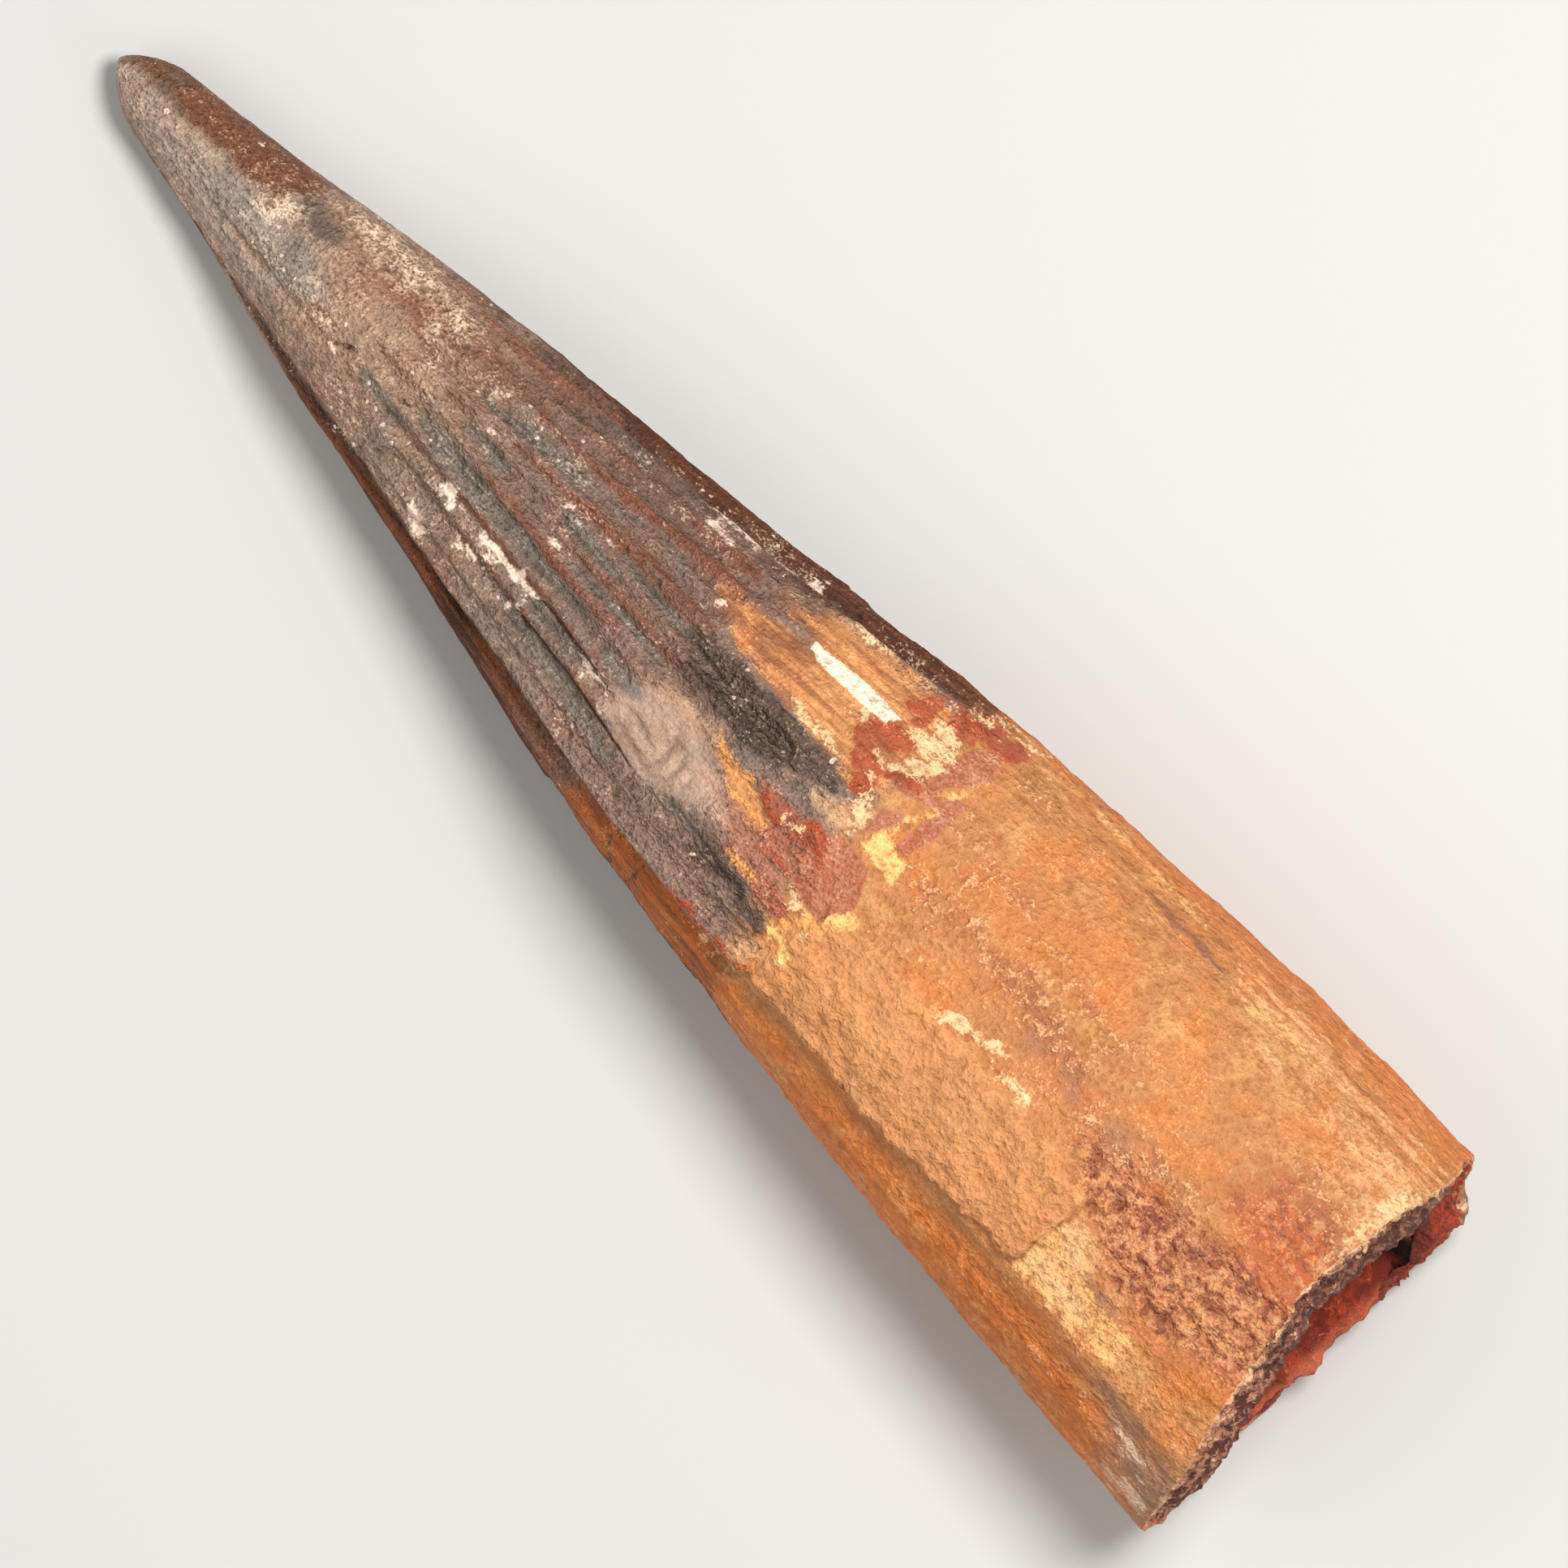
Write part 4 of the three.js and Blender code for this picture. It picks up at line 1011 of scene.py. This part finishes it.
def wear_relief(place, fields, noises, relief):
    """How far each place of the tooth's outside stands out from its plain section."""
    fine, streaks, lumps = (noises[name] for name in ("fine", "streaks", "lumps"))
    grain = relief.grain / MM
    uneven = unevenness(place.x, place.column)
    crusted = smoothstep(fields["crust"], -0.2, 0.3)
    sandy = smoothstep(fields["sand"], -0.3, 0.4)
    spalled = smoothstep(fields["spall"], -0.5, 0.5)
    on_enamel = smoothstep(fields["enamel"], -ENAMEL_LEDGE, ENAMEL_LEDGE)

    crown = (1 - spalled) * flute_relief(place, relief.flutes / MM)
    crown += CROWN_UNEVENNESS * uneven * smoothstep(place.station, 0, CARINA_FADE_IN[1])
    crown += grain * (0.5 * fine + 0.5 * streaks)
    root = ROOT_UNEVENNESS * uneven - ENAMEL_THICKNESS
    root += grain * (0.8 * fine + streaks) + ROOT_LUMPS * lumps
    total = blend(on_enamel, root, crown) + blend(on_enamel, SHOULDER_SHARE, 1) * carina_relief(place)
    total += crusted * (CRUST_LUMPS * lumps + CRUST_GRAIN * fine)
    total += sandy * (SAND_GRAIN * np.abs(fine) + SAND_LUMPS * lumps)
    total -= fields["pores"] * relief.pores / MM
    rise_share = np.where(place.height > 0, 1.0, UNDERSIDE_RISE)
    for name, mark in MARKS.items():
        total += mark.rise * rise_share * smoothstep(fields[name], -mark.slope, mark.slope)
    return total


def painted_ground(x, marks_at, colours):
    """The soft colour of each vertex: the ground along the tooth with the stains over it."""
    stops = np.array([stop for stop, _ in GROUND])
    tones = np.array([getattr(colours, name) for _, name in GROUND])
    paint = np.column_stack([np.interp(x, stops, tones[:, channel]) for channel in range(3)])
    for stain in STAINS:
        inside = marks_at(stain.shapes, STAIN_WANDER)
        share = stain.strength * smoothstep(inside, -stain.soft, stain.soft)
        paint = blend(share[:, None], paint, np.array(getattr(colours, stain.colour)))
    return np.column_stack([paint, np.ones(len(x))])


def streaked_share(place, angle, fields):
    """How far the finish is drawn out along the tooth: on the crown's sides and bare dentine."""
    side_share = np.abs(np.cos(np.radians(angle)))
    bare = np.maximum(fields["lost_enamel"], fields["bare_side"])
    on_enamel = smoothstep(fields["enamel"], -ENAMEL_LEDGE, ENAMEL_LEDGE)
    side = 0.35 + 0.65 * smoothstep(side_share, 0.4, 0.75)
    crown = smoothstep(place.x, *STREAKS_FADE_IN) * side
    root = np.maximum(smoothstep(side_share, 0.6, 0.85), smoothstep(bare, -0.3, 0.3))
    return blend(on_enamel, root, crown)


def outer_x(row, column):
    """x of each vertex. The tip's dome has rows of its own, and the last rows follow the rim."""
    dome_place = TIP_DOME * (1 - np.cos(0.5 * np.pi * np.minimum(1, row / DOME_ROWS)))
    body_place = np.interp(row - DOME_ROWS, BODY_ROWS, BODY_PLACES)
    mean = np.where(row < DOME_ROWS, dome_place, body_place)
    return mean + smoothstep(mean / LENGTH, RIM_START, 1) * (rim_at(column) - LENGTH)


def broken_base(row, column, outer):
    """The tooth's points with its broken wall and hollow, and the fields that tell them apart."""
    face_share = np.clip((row - OUTER_ROWS) / FACE_ROWS, 0, 1)
    face = broken_face_point(column, face_share)
    crumbs = rough_noise(face, *WALL_CRUMBS)
    holes = 1 - smoothstep(cell_noise(face, WALL_HOLE_SIZE), *WALL_HOLE_SLOPE)
    mid_wall = 4 * face_share * (1 - face_share)
    face[:, 0] += mid_wall * (CRUMB_HEIGHT * crumbs - WALL_HOLE_DEPTH * holes)
    step = np.clip((row - OUTER_ROWS - FACE_ROWS) / CAVITY_ROWS, 0, 1)
    points = np.where((row <= OUTER_ROWS)[:, None], outer, face)
    points = np.where((row > OUTER_ROWS + FACE_ROWS)[:, None], cavity_point(column, step, 0), points)
    points[:, 2] = np.maximum(0, points[:, 2])
    return points, face_share, face_share + step, holes


def tooth_surface(row, column, relief, colours):
    """Every point of the tooth, and the fields that its finish reads."""
    x = outer_x(row, column)
    angle = turned_angle(x, column)
    smooth = section_point(x, angle, np.zeros_like(x))
    y = smooth[:, 1]
    height = smooth[:, 2] - section_at(x).centre_z
    place = Place(x, y, height, column, np.clip(x / LENGTH, 0, 1))
    noises = {name: rough_noise(smooth, *settings) for name, settings in SURFACE_NOISES.items()}

    def marks_at(shapes, wander):
        return upper_and_lower(place, shapes, wander * noises["wander_x"], wander * noises["wander_y"])

    fields = {name: marks_at(mark.shapes, mark.wander) for name, mark in MARKS.items()}
    fields["enamel"] = enamel_reach(place, fields, noises)
    fields["pores"] = pore_depth(place, fields, noises)
    outer = section_point(x, angle, wear_relief(place, fields, noises, relief))
    points, face_share, fields["broken"], holes = broken_base(row, column, outer)

    low_wall = smoothstep(-height, *SANDY_WALL_DEPTH) * smoothstep(y, *SANDY_WALL_SIDE)
    a = np.radians(column)
    fields["pores"] = np.where(row <= OUTER_ROWS, fields["pores"], holes)
    fields["granules"] = marks_at(GRANULE_BANDS, 1.2)
    fields["specked"] = marks_at(SPECKED, 1.0)
    fields["leathery"] = marks_at(LEATHERY, 1.0)
    fields["streaked"] = streaked_share(place, angle, fields)
    fields["sandy_wall"] = low_wall * smoothstep(face_share, 0.05, 0.2)
    # The upper side, where the broken edge gets its painted highlight.
    fields["upper"] = smoothstep(height, -1.0, 1.0)
    fields["low_rim"] = smoothstep(-y, 0.5, 5.0)
    fields["girth"] = section_at(x).across / section_at(np.array([LENGTH])).across
    fields["paint"] = painted_ground(x, marks_at, colours)
    fields["grain"] = np.column_stack([x, GRAIN_RADIUS * np.cos(a), GRAIN_RADIUS * np.sin(a)])
    return points, fields


def fill_face_at(y, z):
    """x of the sandstone's broken face at a place across the mouth."""
    base = section_at(np.array([LENGTH]))
    height = (z - base.centre_z) / (base.above - RIM_WALL)
    side = (y - base.centre_y) / (base.across - RIM_WALL)
    recess = FILL_TOP_RECESS + FILL_SIDE_RECESS * smoothstep(side, *FILL_SIDE_SPAN)
    upward = smoothstep(height, *FILL_HEIGHT_SPAN)
    return LENGTH + FILL_REACH - upward * recess + FILL_ROUGHNESS * unevenness(6 * y, 25 * z)


def sandstone_surface(row, column, relief):
    """Every point of the sandstone, from its hidden end to the middle of its broken face."""
    lip = np.zeros_like(column)
    mouth = cavity_point(column, lip, FILL_GAP)[:, 0]
    end = cavity_point(column, np.ones_like(column), FILL_GAP)[:, 0]
    for _ in range(LIP_ROUNDS):
        wall = cavity_point(column, lip, FILL_GAP)
        lip = np.clip((mouth - fill_face_at(wall[:, 1], wall[:, 2])) / (mouth - end), *LIP_LIMITS)
    wall_share = np.clip(1 - row / FILL_WALL_ROWS, 0, 1)
    wall = cavity_point(column, blend(wall_share, lip, 1), FILL_GAP)
    edge = cavity_point(column, lip, FILL_GAP)
    face_share = np.clip(1 - (row - FILL_WALL_ROWS) / FILL_FACE_ROWS, 0, 1)
    base = section_at(np.array([LENGTH]))
    y = blend(face_share, base.centre_y, edge[:, 1])
    z = blend(face_share, base.centre_z, edge[:, 2])
    face = np.column_stack([fill_face_at(y, z), y, z])
    lumps = rough_noise(face, *FILL_LUMPS)
    grains = rough_noise(face, *FILL_GRAINS)
    void = hump(np.hypot(y - VOID_PLACE[0], z - VOID_PLACE[1]), VOID_WIDTH)
    inner = smoothstep(1 - face_share, 0, 0.12)
    face[:, 0] += inner * (relief.stone / MM) * (0.8 * lumps + 0.35 * grains) - VOID_DEPTH * void
    points = np.where((row <= FILL_WALL_ROWS)[:, None], wall, face)
    # worn is how far the face stands out past the rim, where it is painted lighter.
    return points, {"hollows": lumps, "void": void, "worn": smoothstep(face[:, 0] - LENGTH, 0.3, 1.4)}


class Signal:
    """A shader socket that takes part in sums. Each operation adds a Math node."""

    def __init__(self, finish, socket):
        self.finish = finish
        self.socket = socket

    def __add__(self, other):
        return self.finish.math("ADD", self, other)

    def __sub__(self, other):
        return self.finish.math("SUBTRACT", self, other)

    def __rsub__(self, other):
        return self.finish.math("SUBTRACT", other, self)

    def __neg__(self):
        return 0 - self

    def __mul__(self, other):
        return self.finish.math("MULTIPLY", self, other)

    __radd__ = __add__
    __rmul__ = __mul__

    def ramp(self, low, high, top=1.0):
        """0 below low and `top` above high, with a smooth step between."""
        limits = {"Value": self, "From Min": low, "From Max": high, "To Max": top}
        return self.finish.node("ShaderNodeMapRange", {"interpolation_type": "SMOOTHSTEP"}, limits)


class Finish:
    """A material, its named colours, and short ways to add nodes to it."""

    def __init__(self, name, colours):
        self.material = bpy.data.materials.new(name)
        self.material.use_nodes = True
        self.tree = self.material.node_tree
        self.shader = self.tree.nodes["Principled BSDF"]
        self.tint = {tint: (*getattr(colours, tint), 1.0) for tint in ToothColours.__annotations__}
        position = self.node("ShaderNodeTexCoord", {}, {}, "Object")
        self.place = self.scaled(position, (1 / MM,) * 3)

    def node(self, kind, settings, inputs, output=0):
        made = self.tree.nodes.new(kind)
        for name, value in settings.items():
            setattr(made, name, value)
        for name, value in inputs.items():
            self.feed(made.inputs[name], value)
        return Signal(self, made.outputs[output])

    def feed(self, socket, value):
        if isinstance(value, Signal):
            self.tree.links.new(value.socket, socket)
        else:
            socket.default_value = value

    def surface(self, inputs):
        for name, value in inputs.items():
            self.feed(self.shader.inputs[name], value)

    def math(self, operation, *values):
        return self.node("ShaderNodeMath", {"operation": operation}, dict(enumerate(values)))

    def scaled(self, vector, factors):
        return self.node("ShaderNodeVectorMath", {"operation": "MULTIPLY"}, {0: vector, 1: factors})

    def shaded(self, tone, level):
        """A colour made lighter or darker by a level round 1."""
        return self.node("ShaderNodeVectorMath", {"operation": "SCALE"}, {0: tone, "Scale": level})

    def attribute(self, name, output="Fac"):
        return self.node("ShaderNodeAttribute", {"attribute_name": name}, {}, output)

    def noise(self, vector, size, detail, roughness):
        """Noise from 0 to 1 with lumps of about `size` millimetres."""
        inputs = {"Vector": vector, "Scale": 1 / size, "Detail": detail, "Roughness": roughness}
        return self.node("ShaderNodeTexNoise", {}, inputs)

    def mix(self, share, low, high):
        inputs = {0: share, 6: low, 7: high}
        return self.node("ShaderNodeMix", {"data_type": "RGBA"}, inputs, 2)

    def woven(self, share, low, high):
        """Two of the named colours, mixed by a share."""
        return self.mix(share, self.tint[low], self.tint[high])

    def layered(self, tone, *layers):
        """The tone with named colours laid over it in turn, each by its share."""
        for name, share in layers:
            tone = self.mix(share, tone, self.tint[name])
        return tone

    def specks(self, size, reach, share, wobble):
        """Small separate specks: 1 inside one, and 0 between them."""
        cells = {"Vector": self.place, "Scale": 1 / size}
        distance = self.node("ShaderNodeTexVoronoi", {}, cells, "Distance")
        near = 1 - (distance + wobble).ramp(0.7 * reach, reach)
        chance = Signal(self, distance.socket.node.outputs["Color"])
        kind = self.node("ShaderNodeSeparateColor", {}, {0: chance})
        return near * kind.ramp(1 - share, 1.02 - share)

    def bump(self, height, depth):
        return self.node("ShaderNodeBump", {}, {"Height": height, "Distance": depth * MM})


def tooth_wear(finish):
    """The noises and masks that the parts of the tooth's finish share."""
    grain = finish.attribute("grain", "Vector")
    wear = SimpleNamespace()
    for name, (size, detail, roughness, squeeze) in FINISH_NOISES.items():
        vector = finish.scaled(grain, (squeeze, 1, 1)) if squeeze else finish.place
        setattr(wear, name, finish.noise(vector, size, detail, roughness) - 0.5)
    wear.enamel = (finish.attribute("enamel") + 5 * wear.lines + 2 * wear.dust).ramp(-0.3, 0.3)
    wear.root = 1 - wear.enamel
    wear.smooth = (finish.attribute("spall") + 2 * wear.mottle).ramp(-0.4, 0.4)
    wear.pores = finish.attribute("pores")
    wear.streaked = finish.attribute("streaked")
    wear.crisp = (1 - 0.55 * wear.smooth) * (1 - 0.8 * finish.attribute("chips").ramp(-0.2, 0.1))
    wear.calm = 1 - finish.attribute("crust").ramp(-0.3, 0.3, 0.6)
    wear.granules = (finish.attribute("granules") + 7 * wear.mottle).ramp(-0.4, 0.6) * wear.root
    spongy = (finish.attribute("porous") + 4 * wear.mottle).ramp(-0.8, 0.6)
    reddened = (finish.attribute("reddened") + 4 * wear.mottle).ramp(-0.6, 0.9, 0.65)
    wear.spongy = spongy + reddened * (1 - spongy)
    return wear


def ground_tone(finish, wear):
    """The painted ground, in patches: red and grey on the enamel, orange and pale on the root."""
    patches, mottle, lines = wear.patches, wear.mottle, wear.lines
    return finish.layered(
        finish.attribute("paint", "Color"),
        ("red_ridge", 0.5 * wear.enamel * (patches + 0.8 * lines).ramp(0.02, 0.2)),
        ("valley_grey", 0.35 * wear.enamel * (-patches + 0.8 * lines).ramp(0.04, 0.22)),
        ("deep_orange", 0.55 * wear.root * patches.ramp(0.0, 0.14)),
        ("straw", 0.35 * wear.root * (-patches + 0.5 * mottle).ramp(0.03, 0.2)),
        ("granule_mauve", 0.45 * wear.root * (mottle + 0.5 * wear.dust).ramp(0.06, 0.2)),
    )


def marked_tone(finish, wear, tone):
    """The tone and the roughness with every mark laid down, streaky marks along the tooth."""
    lines, mottle, dust, crumbs = wear.lines, wear.mottle, wear.dust, wear.crumbs
    ragged = {True: 4 * lines + 2 * dust + crumbs, False: 4 * mottle + 2 * dust + crumbs}
    streaks = (1.2 * lines + wear.fibres).ramp(-0.2, 0.14)
    weave = {True: streaks, False: (dust + crumbs + mottle).ramp(-0.2, 0.14)}
    rough = ROOT_ROUGHNESS - ENAMEL_SHEEN * wear.enamel
    for name, mark in MARKS.items():
        inside = finish.attribute(name) + mark.wander * ragged[mark.streaky]
        mask = inside.ramp(-mark.edge, mark.edge, mark.cover)
        tone = finish.mix(mask, tone, finish.woven(weave[mark.streaky], mark.other, mark.colour))
        rough = rough + mask * (mark.rough - rough)
    return tone, rough


def grained_tone(finish, wear, tone):
    """The tone made lighter and darker by the grain, which runs along the tooth where it is streaked."""
    strength = 0.1 + wear.streaked * (1.2 - 0.4 * wear.root)
    coarse = wear.lines * strength + 0.7 * wear.mottle + 0.6 * wear.patches
    small = (1 - 0.6 * wear.root) * (1.1 * wear.dust + 0.5 * wear.crumbs + 0.6 * wear.pebbles)
    shaded = 0.35 * wear.root * wear.calm * (-wear.pebbles - 0.8 * wear.dust).ramp(-0.02, 0.2)
    tone = finish.layered(tone, ("deep_orange", shaded * wear.crisp))
    return finish.shaded(tone, 1 + wear.crisp * (coarse + small))


def specked_tone(finish, wear, tone):
    """The tone with pale and dark specks, and with flecks of sand and bone."""
    patches, mottle, dust, crisp = wear.patches, wear.mottle, wear.dust, wear.crisp
    dim = 1 - finish.attribute("side_strip").ramp(-0.6, 0.2)
    specked = finish.attribute("specked").ramp(-1.5, 0.6)
    pale = (wear.crumbs + 0.8 * mottle + 0.5 * patches + 0.08 * specked).ramp(0.16, 0.3) * crisp * dim
    dark = (-wear.crumbs + 0.7 * wear.lines).ramp(0.1, 0.22) * crisp
    chaff = finish.specks(0.8, 0.2, 0.5, 0.6 * dust) * (mottle + patches + 0.4 * specked).ramp(0.02, 0.2)
    flecks = chaff + finish.specks(2.0, 0.11, 0.25, 0.4 * dust + 0.2 * mottle)
    return finish.layered(
        tone,
        ("sand", 0.45 * pale * wear.enamel),
        ("deep_brown", 0.45 * dark * wear.enamel),
        ("chip_pink", 0.8 * flecks * wear.enamel * dim * crisp),
        ("pink_cream", 0.6 * flecks * wear.root * wear.calm),
        ("bright_straw", 0.5 * pale * wear.root * wear.calm),
        ("granule_mauve", 0.2 * dark * wear.root),
    )


def bone_tone(finish, wear, tone):
    """The tone with the root's granules, the spongy bone and painted shade in its pores."""
    patches, mottle, dust, pebbles = wear.patches, wear.mottle, wear.dust, wear.pebbles
    # Where the bump sinks the spongy bone's holes.
    sunk = (wear.holes + 0.3 * mottle + 0.25 * patches).ramp(0.04, 0.11)
    return finish.layered(
        tone,
        ("bone_mauve", 0.5 * wear.granules * (0.02 - dust - pebbles).ramp(-0.03, 0.06)),
        ("pink_cream", 0.8 * wear.granules * (dust + wear.crumbs + pebbles).ramp(0.14, 0.22)),
        ("orange_streak", 0.5 * wear.spongy * (pebbles - patches).ramp(0.05, 0.2)),
        ("cream_bone", 0.55 * wear.spongy * (-wear.holes).ramp(0.05, 0.14)),
        # Painted shade in the sunk holes and the pores.
        ("pore_shade", 0.68 * wear.spongy * sunk),
        ("pore_shade", 0.6 * wear.pores),
    )


def broken_tone(finish, wear, tone):
    """The tone with the broken base: painted highlight atop its edge, brown wall, painted shade in holes
    and hollow.
    """
    mottle, dust, pebbles = wear.mottle, wear.dust, wear.pebbles
    broken = finish.attribute("broken")
    low_rim = 0.5 + 0.5 * finish.attribute("low_rim")
    wall = finish.woven(low_rim * (pebbles + mottle).ramp(-0.12, 0.14), "rim_brown", "flake_brown")
    pale = 0.8 * (dust + mottle).ramp(0.12, 0.3)
    # The wall's pale specks, and painted shade in its sunk holes.
    wall = finish.layered(wall, ("rim_pale", pale), ("soot", 0.7 * wear.pores))
    stone = finish.woven((dust + mottle).ramp(-0.1, 0.1), "stone_dark", "stone_red")
    wall = finish.mix(finish.attribute("sandy_wall"), wall, stone)
    chipped = broken.ramp(0.0, 0.05)
    # Painted highlight along the upper side of the broken edge.
    edge_highlight = finish.attribute("upper") * (mottle + 0.5 * wear.patches).ramp(-0.15, 0.05)
    tone = finish.layered(tone, ("rim_pale", chipped * edge_highlight))
    tone = finish.mix(chipped * (broken + 1.2 * pebbles).ramp(0.1, 0.22), tone, wall)
    # Red-stained wall deep in the hollow, painted darker as painted shade.
    deep = finish.woven(mottle.ramp(-0.1, 0.1), "stone_dark", "rim_brown")
    return finish.mix(broken.ramp(0.85, 1.1), tone, deep)


def tooth_bump(finish, wear):
    """Fine relief of the finish: grain, leathery enamel, pores and granules."""
    girth = finish.attribute("girth")
    along = girth * (0.7 * wear.lines + 0.4 * wear.fibres) * (0.1 + 0.8 * wear.streaked)
    leathery = finish.attribute("leathery").ramp(-0.6, 0.6)
    pebbled = wear.pebbles * (1 - 0.3 * wear.root + 1.1 * leathery)
    grit = wear.dust * (1 - 0.6 * wear.root) + along + wear.mottle + pebbled
    height = wear.crisp * grit - 1.4 * wear.spongy * wear.holes + 0.8 * wear.granules * wear.pebbles
    return finish.bump(height, TOOTH_BUMP)


def tooth_finish(colours):
    """Fluted enamel, bare dentine, ochre root and broken bone, by the fields of the mesh."""
    finish = Finish("fossil_tooth_finish", colours)
    wear = tooth_wear(finish)
    tone, rough = marked_tone(finish, wear, ground_tone(finish, wear))
    for layer in (grained_tone, specked_tone, bone_tone, broken_tone):
        tone = layer(finish, wear, tone)
    finish.surface({
        "Base Color": tone,
        "Roughness": rough + 0.5 * wear.dust - 0.1 * wear.smooth,
        "Specular IOR Level": 0.28,
        "Normal": tooth_bump(finish, wear),
    })
    return finish.material


def sandstone_finish(colours):
    """Matt red sandstone with light and dark grains, painted shade in its hollows and gap, lighter past the
    rim.
    """
    finish = Finish("red_sandstone_finish", colours)
    lumps = finish.noise(finish.place, 1.2, 4.0, 0.6)
    grains = finish.noise(finish.place, 0.28, 2.0, 0.6)
    tone = finish.layered(
        finish.woven(lumps.ramp(0.35, 0.6), "stone_dark", "stone_red"),
        ("stone_light", 0.7 * grains.ramp(0.55, 0.75)),
        # Painted shade where the face is sunk.
        ("stone_dark", finish.attribute("hollows").ramp(0.1, -0.5)),
        # Lighter where the face stands out past the rim.
        ("stone_light", 0.5 * finish.attribute("worn")),
        # Painted shadow in the sandstone's gap.
        ("void_shadow", finish.attribute("void").ramp(0.15, 0.6)),
    )
    normal = finish.bump(0.6 * grains + 0.4 * lumps, STONE_BUMP)
    finish.surface({"Base Color": tone, "Roughness": 0.95, "Specular IOR Level": 0.2, "Normal": normal})
    return finish.material


def floor_finish(colours):
    finish = Finish("plain_floor_finish", colours)
    finish.surface({"Base Color": finish.tint["floor"], "Roughness": 0.85})
    return finish.material


class FOSSIL_OT_tooth(bpy.types.Operator):
    """Add the tooth, crown and root in one piece"""

    bl_idname = "fossil.add_tooth"
    bl_label = "Add Tooth"

    def execute(self, context):
        colours = context.scene.fossil_colours
        relief = context.scene.fossil_relief
        shell = lathe(OUTER_ROWS + FACE_ROWS + CAVITY_ROWS, TOOTH_COLUMNS)
        points, fields = tooth_surface(*rows_and_columns(shell), relief, colours)
        piece = finished_piece("fossil_tooth", shell, points, fields, tooth_finish(colours))
        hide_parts("tooth")
        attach(piece, "root")
        return {"FINISHED"}


class FOSSIL_OT_sandstone(bpy.types.Operator):
    """Add the red sandstone in the hollow of the root"""

    bl_idname = "fossil.add_sandstone"
    bl_label = "Add Sandstone"

    def execute(self, context):
        colours = context.scene.fossil_colours
        relief = context.scene.fossil_relief
        shell = lathe(FILL_WALL_ROWS + FILL_FACE_ROWS, FILL_COLUMNS)
        points, fields = sandstone_surface(*rows_and_columns(shell), relief)
        piece = finished_piece("red_sandstone", shell, points, fields, sandstone_finish(colours))
        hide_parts("sediment_fill")
        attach(piece, "root")
        return {"FINISHED"}


def add_soft_light(name, place, aim, size, watts):
    light = bpy.data.lights.new(name, "AREA")
    light.shape = "DISK"
    light.size = size
    light.energy = watts
    lamp = bpy.data.objects.new(name, light)
    lamp.location = place
    lamp.rotation_euler = (Vector(aim) - Vector(place)).to_track_quat("-Z", "Y").to_euler()
    bpy.context.scene.collection.objects.link(lamp)


class FOSSIL_OT_stage(bpy.types.Operator):
    """Add the floor, the lights and the camera"""

    bl_idname = "fossil.add_stage"
    bl_label = "Add Stage"

    def execute(self, context):
        scene = context.scene
        ground = bmesh.new()
        bmesh.ops.create_grid(ground, x_segments=4, y_segments=4, size=FLOOR_REACH)
        mesh = bpy.data.meshes.new("floor")
        ground.to_mesh(mesh)
        ground.free()
        mesh.materials.append(floor_finish(scene.fossil_colours))
        floor = bpy.data.objects.new("floor", mesh)
        scene.collection.objects.link(floor)

        centre = Vector((CAD_BOX[0] + CAD_BOX[1]) / 2)
        for name, (place, size, watts) in LIGHTS.items():
            add_soft_light(name, centre + Vector(place), centre, size, watts)
        world = bpy.data.worlds.new("studio")
        world.use_nodes = True
        sky = world.node_tree.nodes["Background"]
        sky.inputs["Color"].default_value = (1, 1, 1, 1)
        sky.inputs["Strength"].default_value = SKY_STRENGTH
        scene.world = world
        scene.view_settings.view_transform = "Standard"

        camera = bpy.data.cameras.new("camera")
        camera.lens = VIEW_LENS
        camera.sensor_width = SENSOR_WIDTH
        camera.clip_start = 0.01
        looker = bpy.data.objects.new("camera", camera)
        target = np.array([*VIEW_CENTRE, 0.0]) * MM + tip_in_frame()
        distance = VIEW_WIDTH * VIEW_LENS / SENSOR_WIDTH
        looker.location = (target[0], target[1], (MID_HEIGHT + distance) * MM)
        looker.rotation_euler = (0, 0, math.radians(VIEW_TURN))
        scene.collection.objects.link(looker)
        scene.camera = looker
        return {"FINISHED"}


class FOSSIL_PT_panel(bpy.types.Panel):
    """Lists the pieces and their colours"""

    bl_label = "Fossil Tooth"
    bl_space_type = "VIEW_3D"
    bl_region_type = "UI"
    bl_category = "Fossil"

    def draw(self, context):
        layout = self.layout
        for operator in (FOSSIL_OT_tooth, FOSSIL_OT_sandstone, FOSSIL_OT_stage):
            layout.operator(operator.bl_idname)
        for group in (context.scene.fossil_relief, context.scene.fossil_colours):
            for name in type(group).__annotations__:
                layout.prop(group, name)


CLASSES = (
    ToothColours,
    ToothRelief,
    FOSSIL_OT_tooth,
    FOSSIL_OT_sandstone,
    FOSSIL_OT_stage,
    FOSSIL_PT_panel,
)


def register():
    for cls in CLASSES:
        bpy.utils.register_class(cls)
    bpy.types.Scene.fossil_colours = bpy.props.PointerProperty(type=ToothColours)
    bpy.types.Scene.fossil_relief = bpy.props.PointerProperty(type=ToothRelief)


def unregister():
    del bpy.types.Scene.fossil_relief
    del bpy.types.Scene.fossil_colours
    for cls in reversed(CLASSES):
        bpy.utils.unregister_class(cls)


def main():
    register()
    bpy.ops.fossil.add_tooth()
    bpy.ops.fossil.add_sandstone()
    bpy.ops.fossil.add_stage()


if __name__ == "__main__":
    main()
